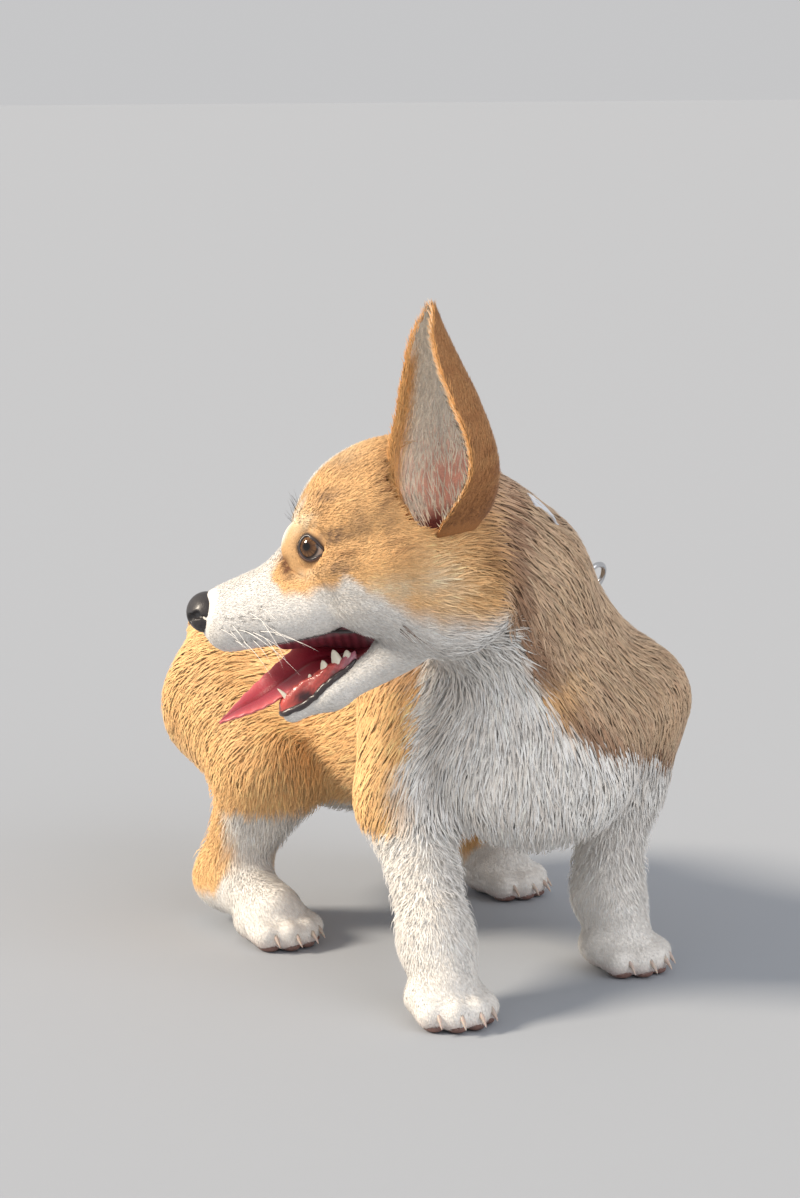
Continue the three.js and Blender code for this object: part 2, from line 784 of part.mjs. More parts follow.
for (const [side, leg] of Object.entries(forelegs)) {
  const cut = { point: leg.elbow, normal: sub(leg.wrist, leg.elbow) };
  makeLeg(`foreleg_${side}`, leg, [leg.shoulder, leg.elbow, leg.wrist], [41, 36], cut, ['upper', 'lower']);
}
for (const [side, leg] of Object.entries(hindlegs)) {
  const cut = { point: sub(leg.knee, [0, 0, 12]), normal: [0, 0, -1] };
  makeLeg(`hindleg_${side}`, leg, [leg.hip, leg.knee, leg.hock], [47, 44], cut, ['thigh', 'shank']);
}
const tailEnds = [mix(places.tailRoot, places.tailTip, 0.55), places.tailTip];
const tail = trunk.intersect(cutterBall(tailEnds[1], tailEnds[0], [17, 17]));
const torso = trunk.subtract(cutterBall(tailEnds[1], tailEnds[0], [17, 17], gap));
addNode('tail', tail, 'tan');

// Collar: a strap sunk in the coat behind the head, and a tab from it along the nape to a ring

const collarReach = 66;
const coatAt = (from, way) => edgeOf(coreField, from, way, collarReach);
// A flat strap along stations, each with a place, the way out of the coat and the way across the strap
function strap(stations, solidOfRings, extra, lift) {
  const half = collarWidth / 2 + extra;
  const rings = stations.map(({ place, out, across, covered }) => {
    const low = -collarThickness / 2 - extra;
    const high = collarThickness / 2 + max(extra, covered ? 0 : lift);
    const corners = [[-half, low], [half, low], [half, high], [-half, high]];
    return corners.map(([aside, rise]) => add(place, add(times(across, aside), times(out, rise))));
  });
  return solidOfRings(rings);
}
const collarMiddle = mix(places.neckTop, places.nape, 0.67);
const collarAxis = wayToWorld([0.8, 0, 0.6]);
const collarSide = unit(cross(collarAxis, [0, 0, 1]));
const collarTop = cross(collarSide, collarAxis);
const collarSteps = 28;
const roundStations = Array.from({ length: collarSteps }, (_, i) => {
  const turn = (2 * PI * i) / collarSteps;
  const out = add(times(collarSide, cos(turn)), times(collarTop, sin(turn)));
  const coat = coatAt(collarMiddle, out);
  const covered = coreField(...coat) < -1;
  return { place: sub(coat, times(out, collarDepth)), out, across: collarAxis, covered };
});
const tabSteps = 8;
const tabWays = [[0.3, -0.55, 0.8], [0.62, -0.1, 0.78]].map(unit);
const tabStations = Array.from({ length: tabSteps + 1 }, (_, i) => {
  const out = unit(mix(...tabWays, i / tabSteps));
  const sunk = collarDepth * max(0, 1 - i / 1.5);
  const middle = mix(collarMiddle, places.neckBase, (0.9 * i) / tabSteps);
  return { place: sub(coatAt(middle, out), times(out, sunk)), out };
});
tabStations.forEach((station, i) => {
  const [from, to] = [tabStations[max(i - 1, 0)], tabStations[min(i + 1, tabSteps)]];
  station.across = unit(cross(station.out, sub(to.place, from.place)));
});
const collarShape = (extra = 0, lift = 0) =>
  strap(roundStations, loftRound, extra, lift).add(strap(tabStations, loft, extra, lift));
const tabEnd = tabStations[tabSteps];
const tabAlong = unit(cross(tabEnd.out, tabEnd.across));
const ringPlace = add(tabEnd.place, times(tabEnd.out, ringRadius / 2));
const ringShape = (extra = 0) =>
  solidOf(
    new THREE.TorusGeometry(ringRadius, ringWire + extra, 6, 14),
    frameAt(ringPlace, tabAlong, tabEnd.out, tabEnd.across),
  );
addNode('collar', collarShape().subtract(ringShape(gap)), 'strap');
addNode('collar_ring', ringShape(), 'ring');
const collarRoom = collarShape(gap, 2 * lockRise).add(ringShape(gap));
addNode('neck', neck.subtract(collarRoom), 'tan');
addNode('torso', torso.subtract(collarRoom), 'tan');

// Head nodes share the head's place and turn
const headGroup = new THREE.Group();
headMatrix.decompose(headGroup.position, headGroup.quaternion, headGroup.scale);
group.add(headGroup);
const headSolid = solidFrom(
  thin(meshOf(headField, [-75, -58, -75], [112, 58, 66], 2.4), 2600, headField),
);
function eyeBall(side, extra = 0) {
  const ball = new THREE.SphereGeometry(eyeRadius + extra, 12, 8);
  return solidOf(ball.translate(eyePlace[0], eyePlace[1] * side, eyePlace[2]));
}
let skull = headSolid.subtract(eyeBall(1, gap)).subtract(eyeBall(-1, gap));
skull = splitAt(skull, headCutPlace, headCutWay)[1];
// The nose, or the room for it with the gap and what thinning may take
function noseShape(extra) {
  const field = (x, y, z) => noseField(x, y, z) - extra;
  return solidFrom(thin(meshOf(field, [78, -16, -20], [108, 16, 8], 1.5), 260, field));
}
skull = skull.subtract(noseShape(3 * gap));
const jawTurn = radians(25);
const jawFront = [cos(jawTurn), 0, -sin(jawTurn)];
const jawUp = [sin(jawTurn), 0, cos(jawTurn)];
const jawRegion = (extra) =>
  solidOf(
    new THREE.BoxGeometry(90, 90, 60).translate(45 - extra, 0, -30 + extra),
    frameAt([mouthCorner[0] - 2, 0, mouthCorner[2]], jawFront, [0, 1, 0], jawUp),
  );
addNode('nose', noseShape(0), 'nose', headGroup);
addNode('eye_left', eyeBall(1), 'eye', headGroup);
addNode('eye_right', eyeBall(-1), 'eye', headGroup);

// Ears: a leaf rolled into a cup. Each level has a middle, a half width, a depth, and how far
// its wall runs round from its back to its front edge and to its outer edge.
const earLevels = [
  { x: -24, y: 25, z: 8, width: 13, depth: 13, front: 165, outer: 165 },
  { x: -25, y: 30.5, z: 18, width: 20, depth: 17, front: 158, outer: 138 },
  { x: -27, y: 33.5, z: 31, width: 27.5, depth: 20.5, front: 144, outer: 116 },
  { x: -30, y: 36, z: 47, width: 28.5, depth: 23, front: 124, outer: 110 },
  { x: -31.5, y: 37.5, z: 68, width: 21, depth: 21.5, front: 112, outer: 110 },
  { x: -32.5, y: 39, z: 86, width: 13.5, depth: 17.5, front: 110, outer: 108 },
  { x: -34, y: 41, z: 101, width: 8, depth: 11.5, front: 102, outer: 100 },
  { x: -37, y: 42.5, z: 112, width: 3, depth: 5, front: 75, outer: 75 },
];
const earFacing = radians(45);
const earSteps = 8;
// The closed wall of an ear between its outside and its hollow, made thicker by an extra
function earShape(side, extra = 0) {
  const rings = levelsBetween(earLevels, 13).map((level, row) => {
    const ring = [];
    for (const face of [0, 1])
      for (let i = 0; i <= earSteps; i++) {
        const share = face ? 1 - (2 * i) / earSteps : (2 * i) / earSteps - 1;
        const roll = radians(share > 0 ? level.front : level.outer) + (1.5 * extra) / level.width;
        const turn = roll * share;
        const inset = face ? earWall * min(1, level.width / 8) + extra : -extra;
        const across = (level.width - inset) * sin(turn);
        const back = (level.depth - inset) * cos(turn);
        ring.push([
          level.x + across * sin(earFacing) - back * cos(earFacing),
          side * (level.y - across * cos(earFacing) - back * sin(earFacing)),
          row ? level.z : level.z - extra,
        ]);
      }
    return side > 0 ? ring : ring.reverse();
  });
  return loft(rings);
}

// The room inside an ear's cup, where it sinks into the head
function earHollow(side) {
  const rings = levelsBetween(earLevels.slice(0, 5), 6).map((level) => {
    const width = level.width - earWall - 0.4;
    const depth = level.depth - earWall - 0.4;
    const ring = Array.from({ length: 12 }, (_, i) => {
      const turn = (2 * PI * i) / 12;
      const across = width * sin(turn);
      const back = (cos(turn) < 0 ? 0.85 * depth : depth) * cos(turn);
      return [
        level.x + across * sin(earFacing) - back * cos(earFacing),
        side * (level.y - across * cos(earFacing) - back * sin(earFacing)),
        level.z + 3,
      ];
    });
    return side > 0 ? ring : ring.reverse();
  });
  return loft(rings);
}

// Tongue: a cupped blade that runs out over the lower lip, its far edge the higher one
const tongueLevels = [
  { x: 8, y: 0, z: -38, width: 10, depth: 4, cup: 0, tilt: 0 },
  { x: 24, y: 0, z: -39, width: 12, depth: 4.4, cup: 1, tilt: 6 },
  { x: 42, y: -1, z: -41, width: 13, depth: 4, cup: 3, tilt: 16 },
  { x: 60, y: -2.5, z: -44, width: 13, depth: 3.2, cup: 4, tilt: 26 },
  { x: 76, y: -3, z: -47, width: 12, depth: 2.6, cup: 4, tilt: 28 },
  { x: 89, y: -2, z: -51.5, width: 9, depth: 2.2, cup: 2.4, tilt: 22 },
  { x: 99, y: 0, z: -57.5, width: 4, depth: 1.6, cup: 0.6, tilt: 10 },
];
const tongueSides = 12;
function tongueShape(extra = 0) {
  const rings = levelsBetween(tongueLevels, 12).map(({ x, y, z, width, depth, cup, tilt }) =>
    Array.from({ length: tongueSides }, (_, i) => {
      const turn = (2 * PI * i) / tongueSides;
      const across = (width + extra) * cos(turn);
      const rise = (depth + extra) * sin(turn) + cup * (across / width) ** 2;
      const [c, s] = [cos(radians(tilt)), sin(radians(tilt))];
      return [x, y + across * c + rise * s, z - across * s + rise * c];
    }),
  );
  return loft(rings);
}

// Teeth of the lower jaw, from the middle to the back of each side
const teeth = [
  { x: 65.5, y: 1.5, z: -54, height: 3.2, radius: 1.2 },
  { x: 65, y: 3.8, z: -54, height: 3.4, radius: 1.3 },
  { x: 62.5, y: 6.4, z: -54, height: 11, radius: 2.3, lean: 5 },
  { x: 52, y: 8.4, z: -53, height: 4, radius: 1.9 },
  { x: 45, y: 9.6, z: -52, height: 5, radius: 2.3 },
  { x: 38, y: 10.8, z: -48.5, height: 6, radius: 2.7 },
  { x: 30.5, y: 12.4, z: -44, height: 7, radius: 3.1 },
];
function toothShape({ x, y, z, height, radius, lean = 0 }, side) {
  const rings = [-3, 0.3, 0.95].map((t) => {
    const rise = t < 0 ? t : height * t;
    const size = radius * (t < 0 ? 1 : sqrt(1 - t));
    return Array.from({ length: 5 }, (_, i) => {
      const turn = (2 * PI * i) / 5;
      return [x + lean * max(t, 0) ** 1.5 + 1.25 * size * cos(turn), side * y + size * sin(turn), z + rise];
    });
  });
  return loft(rings);
}

for (const [side, name] of [[1, 'left'], [-1, 'right']]) {
  for (const extra of [2 * gap, gap, 0]) skull = skull.subtract(earShape(side, extra));
  skull = skull.subtract(earHollow(side));
  addNode(`ear_${name}`, earShape(side), 'tan', headGroup);
}
skull = skull.subtract(tongueShape(gap));
addNode('tongue', tongueShape(), 'tongue', headGroup);
let jaw = skull.intersect(jawRegion(0));
const tongueRoom = tongueShape(gap);
for (const side of [-1, 1])
  for (const tooth of teeth) jaw = jaw.add(toothShape(tooth, side).subtract(tongueRoom));
addNode('lower_jaw', jaw, 'cream', headGroup);
addNode('head', skull.subtract(jawRegion(gap)), 'tan', headGroup);

// Paws
for (const [kind, legs] of [['forepaw', forelegs], ['hindpaw', hindlegs]])
  for (const [side, leg] of Object.entries(legs)) {
    const [low, middle] = leg.wrist ? [leg.wrist, leg.elbow] : [leg.hock, leg.knee];
    const radii = leg.wrist ? [wristRadius, 24] : [hockRadius, 28];
    const pawGroup = new THREE.Group();
    pawGroup.position.set(leg.paw[0], leg.paw[1], 0);
    pawGroup.rotation.z = radians(leg.heading);
    pawGroup.updateMatrix();
    const back = pawGroup.matrix.clone().invert();
    const local = (p) => new THREE.Vector3(...p).applyMatrix4(back).toArray();
    const field = pawField(local(low), local(middle), ...radii);
    const flesh = solidFrom(thin(meshOf(field, [-62, -44, -7], [40, 44, 50], 2.3), 400, field));
    const clawed = toes.reduce((paw, toe) => paw.add(clawShape(toe)), flesh);
    const shape = clawed.intersect(halfSpace([0, 0, 0], [0, 0, 1]));
    group.add(pawGroup);
    addNode(`${kind}_${side}`, splitAt(shape, [0, 0, pawTop], [0, 0, 1])[0], 'cream', pawGroup);
  }

// The origin is under the middle of the whole, at the level of the soles
const whole = new THREE.Box3().setFromObject(group, true);
const middle = whole.getCenter(new THREE.Vector3());
group.position.set(-middle.x, -middle.y, 0);

export default group;
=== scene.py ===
# A Pembroke Welsh corgi puppy in Blender: one skin over the solids' flesh, its coat as mesh tufts,
# and eyes, nose, mouth, claws and collar as pieces of their own.
import math

import bpy
import numpy as np
from mathutils import Matrix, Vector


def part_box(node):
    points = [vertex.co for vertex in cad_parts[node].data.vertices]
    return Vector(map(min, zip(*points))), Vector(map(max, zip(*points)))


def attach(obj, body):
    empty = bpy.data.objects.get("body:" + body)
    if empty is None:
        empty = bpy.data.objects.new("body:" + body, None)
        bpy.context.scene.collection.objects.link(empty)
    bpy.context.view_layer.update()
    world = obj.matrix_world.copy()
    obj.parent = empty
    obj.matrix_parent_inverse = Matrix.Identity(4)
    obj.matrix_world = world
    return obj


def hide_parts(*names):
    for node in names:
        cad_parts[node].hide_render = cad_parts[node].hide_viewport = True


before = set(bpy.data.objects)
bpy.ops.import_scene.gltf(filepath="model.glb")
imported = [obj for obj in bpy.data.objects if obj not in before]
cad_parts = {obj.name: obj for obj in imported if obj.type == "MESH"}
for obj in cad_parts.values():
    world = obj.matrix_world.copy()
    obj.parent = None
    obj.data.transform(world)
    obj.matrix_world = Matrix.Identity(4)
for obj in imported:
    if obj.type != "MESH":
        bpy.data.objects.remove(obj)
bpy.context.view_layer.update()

# Lengths are in millimetres in the dog's own frame: it faces -Y, its left side is +X, the floor is z = 0.
# inPlace moves them into the model's frame in metres.
dog = {
    "chestFront": (12, -62, 126), "midBack": (8, 14, 117), "loin": (-8, 76, 115), "rump": (-28, 128, 121),
    "tailRoot": (-36, 164, 142), "tailTip": (-24, 190, 139), "breast": (-2, -94, 114),
    "withers": (20, -40, 158), "neckBase": (14, -68, 148), "neckTop": (-20, -94, 204),
    "nape": (-34, -100, 226),
}
forelegs = [
    {"top": (-32, -34, 144), "middle": (-50, -56, 92), "low": (-64, -106, 36),
     "paw": (-69, -124), "turn": 268},
    {"top": (60, -84, 136), "middle": (64, -66, 92), "low": (56, -74, 36), "paw": (54, -90), "turn": 284},
]
hindlegs = [
    {"top": (-58, 112, 112), "middle": (-65, 62, 86), "low": (-76, 90, 25), "paw": (-75, 40), "turn": 282},
    {"top": (14, 132, 112), "middle": (54, 96, 84), "low": (74, 114, 40), "paw": (80, 66), "turn": 292},
]
# Radii at both ends of a leg's upper part and of its lower part
foreRadii = ((32, 26), (24, 18))
hindRadii = ((42, 29), (28, 17))
# The head's own frame: x to the nose, y to its left side, z up, from the middle of the skull
head = {"place": (-72, -85, 217), "heading": 150, "pitch": 12, "roll": 6}
eye = {"place": (37, 19.5, 14.5), "gaze": (0.42, 0.88, 0.2), "radius": 8.6}
leftRight = {"left": 1, "right": -1}

rng = np.random.default_rng(11)


def vec(*values):
    return np.array(values, float)


def unit(a):
    a = np.asarray(a, float)
    return a / np.maximum(np.linalg.norm(a, axis=-1, keepdims=True), 1e-9)


def mix(a, b, t):
    return a + (b - a) * t


# 0 below a, 1 above b, and an S-shaped rise between them
def ramp(a, b, x):
    t = np.clip((x - a) / (b - a), 0, 1)
    return t * t * (3 - 2 * t)


# Angles round a full turn, without the last that would repeat the first
def roundSteps(count):
    return np.linspace(0, 2 * math.pi, count, endpoint=False)


def turnAbout(axis, degrees):
    c, s = math.cos(math.radians(degrees)), math.sin(math.radians(degrees))
    i, j = [(1, 2), (2, 0), (0, 1)][axis]
    m = np.eye(3)
    m[i, i] = m[j, j] = c
    m[i, j], m[j, i] = -s, s
    return m


headTurn = turnAbout(2, head["heading"]) @ turnAbout(1, head["pitch"]) @ turnAbout(0, head["roll"])


def toHead(p):
    return (p - vec(*head["place"])) @ headTurn


def fromHead(p):
    return np.asarray(p, float) @ headTurn.T + vec(*head["place"])


eyeLow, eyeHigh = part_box("eye_left")
shift = (np.array(eyeLow) + np.array(eyeHigh)) * 500 - fromHead(eye["place"])


def inPlace(p):
    return (p + shift) * 0.001


# Fields: the distance from points to a surface, negative inside

# The cone between two balls, from the nearest point of its axis and the radius there
def limb(a, b, ra, rb):
    a, b = vec(*a), vec(*b)
    along = b - a
    length2 = along @ along

    def field(p):
        q = p - a
        t = np.clip(q @ along / length2, 0, 1)
        return np.sqrt(((q - t[:, None] * along) ** 2).sum(1)) - (ra + (rb - ra) * t)

    return field


# A ball with three radii, turned about z and then tipped nose down
def ball(centre, radii, heading=0, pitch=0):
    turn = turnAbout(2, heading) @ turnAbout(1, pitch)
    radii = vec(*radii)

    def field(p):
        q = ((p - vec(*centre)) @ turn) / radii
        k0 = np.sqrt((q * q).sum(1))
        k1 = np.sqrt(((q / radii) ** 2).sum(1))
        return k0 * (k0 - 1) / np.maximum(k1, 1e-6)

    return field


# The lesser of two distances, rounded off where they differ by less than a size
def blendOf(size, value, other):
    h = np.maximum(size - np.abs(value - other), 0) / size
    return np.minimum(value, other) - h * h * size / 4


def carveOf(size, value, hole):
    return -blendOf(size, -value, hole)


def blend(size, *fields):
    def field(p):
        value = fields[0](p)
        for other in fields[1:]:
            value = blendOf(size, value, other(p))
        return value

    return field


# Points of the head's frame, with those of its right side brought over to the left
def folded(h):
    return h * (1, 0, 1) + np.abs(h) * (0, 1, 0)


def mirrored(field):
    return lambda p: field(folded(p))


neckFields = [limb(dog["neckBase"], dog["neckTop"], 54, 39), limb(dog["neckTop"], dog["nape"], 39, 31)]
torsoField = blend(
    16,
    limb(dog["chestFront"], dog["midBack"], 60, 57),
    limb(dog["midBack"], dog["loin"], 57, 56),
    limb(dog["loin"], dog["rump"], 56, 52),
    ball(dog["tailRoot"], (22, 24, 22)),
    limb(dog["tailRoot"], dog["tailTip"], 17, 11),
    ball(dog["breast"], (34, 52, 48), 65),
    ball(dog["withers"], (34, 42, 34), 65),
    *neckFields,
)
headField = mirrored(blend(
    10,
    ball((-3, 0, 21), (51, 44, 40)),
    ball((4, 22, -10), (34, 22, 27)),
    ball((-18, 22, -22), (32, 22, 29)),
    limb((42, 0, -4), (86, 0, -7.5), 21, 14.5),
    limb((46, 12, -14), (85, 6.5, -15.5), 14.5, 11),
    ball((45, 0, 8), (15, 12, 13)),
    limb((30, 24, 2), (-5, 34, 2), 11, 14),
    ball((36, 15, 26), (11, 9, 8)),
    limb((10, 0, -41), (44, 0, -55), 12, 6.2),
    limb((6, 14, -41), (44, 9, -55), 11, 6),
    limb((44, 7, -55), (65, 4, -60), 6.2, 6),
))


pawSize = {"length": 50, "width": 46, "edge": 9, "outerToes": 0.62, "instep": 16}


# A leg's upper part, lower part and pastern, down to the paw
def legFields(leg, upper, lower):
    foot = (*leg["paw"], pawSize["instep"])
    return [limb(leg["top"], leg["middle"], *upper), limb(leg["middle"], leg["low"], *lower),
            limb(leg["low"], foot, lower[1], pawSize["instep"])]


legs = forelegs + hindlegs
legRadii = [foreRadii] * 2 + [hindRadii] * 2
legParts = [legFields(leg, *radii) for leg, radii in zip(legs, legRadii)]


# Points in a paw's own frame: x towards the claws, sole at z = 0
def toPaw(leg, p):
    return (p - vec(*leg["paw"], 0)) @ turnAbout(2, leg["turn"])


def fromPaw(leg, p):
    return np.asarray(p, float) @ turnAbout(2, leg["turn"]).T + vec(*leg["paw"], 0)


toes = []
for side in (-1, -0.36, 0.36, 1):
    reach = (pawSize["length"] / 2 - pawSize["edge"]) * (pawSize["outerToes"] if abs(side) > 0.5 else 1)
    toes.append({"side": side, "reach": reach, "across": (pawSize["width"] / 2 - pawSize["edge"]) * side})


# One toe: a cone from the paw's middle to the knuckle over the claw
def toeField(toe):
    knuckle = (toe["reach"] - 14, toe["across"] * 0.75, 12)
    return limb(knuckle, (toe["reach"] + 1, toe["across"], 8), 10, 9 - 0.4 * abs(toe["side"]))


def pawField(leg, wide, narrow):
    low = toPaw(leg, vec(*leg["low"]))
    middle = toPaw(leg, vec(*leg["middle"]))
    foot = limb(low, (0, 0, pawSize["instep"]), narrow, pawSize["instep"])
    shank = blend(jointBlend, limb(low, middle, narrow, wide), foot)
    local = blend(4, *[toeField(toe) for toe in toes], ball((-8, 0, 11), (17, 18, 13)), shank)
    return lambda p: local(toPaw(leg, p))


jointBlend = 14
pawFields = [pawField(leg, *radii[1]) for leg, radii in zip(legs, legRadii)]
longCoat = [
    limb((2, -84, 112), dog["neckTop"], 60, 52),
    limb((-72, 128, 112), (-82, 116, 76), 30, 22),
    limb((44, 150, 112), (70, 136, 76), 30, 22),
    ball((-34, 176, 128), (34, 24, 30)),
]


# The flesh out to the coat's tips: the body blended with head and legs above the paws, toed paws below
def fleshField(p):
    body = torsoField(p)
    value = blendOf(jointBlend, body, headField(toHead(p)))
    for part in legParts:
        for field in part:
            value = blendOf(jointBlend, value, field(p))
    low = p[:, 2] < 40
    if low.any():
        paws = np.min([field(p[low]) for field in pawFields], axis=0)
        value[low] = mix(paws, value[low], ramp(26, 34, p[low, 2]))
    return value


muzzle = limb((44, 0, -16), (96, 0, -14), 22, 14)
jawLine = limb((20, 0, -46), (66, 0, -62), 12, 8)
depths = {"body": 3.6, "ruff": 5.5, "head": 2.4, "face": 1.0, "paws": 1.3}


# How far the skin lies below the coat's tips: most in the ruff, least on muzzle and feet
def coatDepth(p):
    h = toHead(p)
    inRuff = np.max([np.clip(0.5 - field(p) / 26, 0, 1) for field in longCoat], axis=0)
    depth = mix(depths["body"], depths["ruff"], inRuff)
    onHead = ramp(14, -4, headField(h)) * ramp(-48, -10, h[:, 0])
    depth = mix(depth, depths["head"], onHead)
    onFace = ramp(14, 0, np.minimum(muzzle(h), jawLine(h)))
    depth = mix(depth, depths["face"], onFace)
    return mix(depths["paws"], depth, ramp(18, 46, p[:, 2]))


def wholeSkin(p):
    return fleshField(p) + coatDepth(p)


# The open mouth: above the lower lip, below the upper lip, in front of the corner and inside the cheeks
lips = {"x": (21, 23, 27, 34, 47, 52, 59, 69, 80), "corner": 21.5, "cheeks": 34, "front": 116,
        "upper": (-32, -30.5, -27.4, -26, -26.4, -26.6, -26.5, -26.5, -26.5),
        "lower": (-34, -36.5, -39.5, -44.8, -50.8, -54.5, -58, -60, -61)}


# Heights of the mouth's upper and lower edge along the muzzle
def upperHeight(x):
    return np.interp(x, lips["x"], lips["upper"])


def lowerHeight(x):
    return np.interp(x, lips["x"], lips["lower"])


def mouthGap(h):
    x, z = h[:, 0], h[:, 2]
    beyond = [lips["corner"] - x, np.abs(h[:, 1]) - lips["cheeks"], x - lips["front"]]
    return np.max([z - upperHeight(x), lowerHeight(x) - z, *beyond], axis=0)


throatHole = limb((26, 0, -38), (-2, 0, -33), 11, 6)

# Ears: at each level a flattened arc, open forwards and outwards, with an outside and an inside
earLevels = {
    "x": (-25, -27.5, -29, -30, -31.5, -32.5, -34, -37), "y": (25, 31, 34, 36, 37.5, 39, 41, 42.5),
    "z": (8, 18, 31, 47, 68, 86, 101, 112), "width": (15, 23, 28.5, 28.5, 21, 13.5, 8.5, 4.2),
    "depth": (14, 20, 23, 23, 21.5, 17.5, 12, 6), "front": (165, 160, 146, 124, 112, 110, 102, 75),
    "outer": (165, 138, 116, 110, 110, 108, 100, 75),
}
ear = {"rows": 88, "steps": 44, "coat": 1.0, "wall": 2.3, "lining": 2.2, "floor": 11, "ceiling": 70}
diagonal = math.cos(math.radians(45))  # each cup faces halfway between forwards and outwards
earOpening = {"z": (9, 19, 38, 57, 72), "front": (-20, -9, -2, -5, -14), "outer": (-25, -36, -38, -37, -37)}


# The hollow of the ears: each cup's inside, and the way out of it towards the side
def earRoom(h):
    x, y, z = h[:, 0], np.abs(h[:, 1]), h[:, 2]
    level = {key: np.interp(z, earLevels["z"], column) for key, column in earLevels.items()}
    across = ((x - level["x"]) - (y - level["y"])) * diagonal
    back = -((x - level["x"]) + (y - level["y"])) * diagonal
    wide, deep = level["width"] - ear["lining"], level["depth"] - ear["lining"]
    cup = (np.hypot(across / wide, back / deep) - 1) * np.minimum(wide, deep)
    front = np.interp(z, earOpening["z"], earOpening["front"])
    outer = np.interp(z, earOpening["z"], earOpening["outer"])
    wayOut = np.max([x - front, outer - x, level["y"] - 8 - y], axis=0)
    return np.max([np.minimum(cup, wayOut), ear["floor"] - z, z - ear["ceiling"]], axis=0)


eyePlace = vec(*eye["place"])
socketField = mirrored(ball(eyePlace, [eye["radius"] + 0.9] * 3))


# The whole skin with mouth, throat, ears and eye sockets carved out, above the floor
def skinField(p):
    value = wholeSkin(p)
    h = toHead(p)
    near = (np.abs(h[:, 1]) < 60) & (h[:, 0] > -60) & (h[:, 0] < 120) & (np.abs(h[:, 2]) < 80)
    if near.any():
        q, v = h[near], value[near]
        v = carveOf(2, v, mouthGap(q))
        v = carveOf(3, v, throatHole(q))
        v = carveOf(2, v, earRoom(q))
        value[near] = carveOf(1, v, socketField(q))
    return np.maximum(value, 0.8 - p[:, 2])


# The field's slope, from points half a millimetre away on each axis
def slopeOf(field, p, e=0.5):
    return np.stack([(field(p + d) - field(p - d)) / (2 * e) for d in np.eye(3) * e], axis=1)


# Points of one axis: fine between two marks and coarse outside them
def spaced(low, high, fineLow, fineHigh, fine, coarse):
    middle = np.arange(fineLow, fineHigh, fine)
    axis = np.concatenate([np.arange(low, fineLow, coarse), middle, np.arange(fineHigh, high, coarse)])
    return np.append(axis, axis[-1] + coarse * np.arange(1, 5 - len(axis) % 4 + 1))


# Meshes where a field is zero: one point in each cell that the surface crosses, at the mean of its
# crossed edges, and a quad round each crossed edge. Only blocks near the surface are worked out in full.
def netOf(field, axes, block=4):
    xs, ys, zs = [a[: len(a) // block * block] for a in axes]
    shape = (len(xs), len(ys), len(zs))
    coarse = np.stack(np.meshgrid(xs[::block], ys[::block], zs[::block], indexing="ij"), -1)
    rough = field(coarse.reshape(-1, 3)).reshape(coarse.shape[:3])
    reach = block * max(np.diff(a).max() for a in (xs, ys, zs)) * 1.05
    near = np.abs(rough) < reach
    for axis in range(3):
        near = near | np.roll(near, 1, axis)
    values = rough
    mask = near
    for axis in range(3):
        values = np.repeat(values, block, axis)
        mask = np.repeat(mask, block, axis)
    at = np.argwhere(mask)
    points = np.stack([xs[at[:, 0]], ys[at[:, 1]], zs[at[:, 2]]], 1)
    values[mask] = np.concatenate([field(part) for part in np.array_split(points, 40)])
    values[[0, -1]] = values[:, [0, -1]] = values[:, :, [0, -1]] = 1
    inside = values < 0
    corners = [(i, j, k) for i in (0, 1) for j in (0, 1) for k in (0, 1)]
    n = [s - 1 for s in shape]
    count = sum(inside[i:n[0] + i, j:n[1] + j, k:n[2] + k].astype(np.int8) for i, j, k in corners)
    cells = np.argwhere((count > 0) & (count < 8))
    total = np.zeros((len(cells), 3))
    hits = np.zeros(len(cells))
    lines = (xs, ys, zs)
    for axis in range(3):
        step = np.eye(3, dtype=int)[axis]
        for i, j, k in corners:
            if (i, j, k)[axis]:
                continue
            a = cells + (i, j, k)
            b = a + step
            va, vb = values[tuple(a.T)], values[tuple(b.T)]
            crossed = (va < 0) != (vb < 0)
            t = np.where(crossed, va / np.where(crossed, va - vb, 1), 0)
            pa = np.stack([lines[m][a[:, m]] for m in range(3)], 1)
            pb = np.stack([lines[m][b[:, m]] for m in range(3)], 1)
            total += np.where(crossed[:, None], mix(pa, pb, t[:, None]), 0)
            hits += crossed
    verts = total / hits[:, None]
    index = np.full(n, -1)
    index[tuple(cells.T)] = np.arange(len(cells))
    quads = []
    step = np.eye(3, dtype=int)
    for axis in range(3):
        u, v = (axis + 1) % 3, (axis + 2) % 3
        here = np.argwhere(inside != np.roll(inside, -1, axis))
        here = here[(here[:, axis] < n[axis]) & (here[:, u] > 0) & (here[:, v] > 0)]
        ring = [here - step[u] - step[v], here - step[v], here, here - step[u]]
        quad = np.stack([index[tuple(c.T)] for c in ring], 1)
        flip = ~inside[tuple(here.T)]
        quad[flip] = quad[flip, ::-1]
        quads.append(quad)
    return verts, np.concatenate(quads)


# Quads cut into triangles
def halved(quads):
    return np.concatenate([quads[:, [0, 1, 2]], quads[:, [0, 2, 3]]])


def cornersOf(verts, tris):
    return verts[tris[:, 0]], verts[tris[:, 1]], verts[tris[:, 2]]


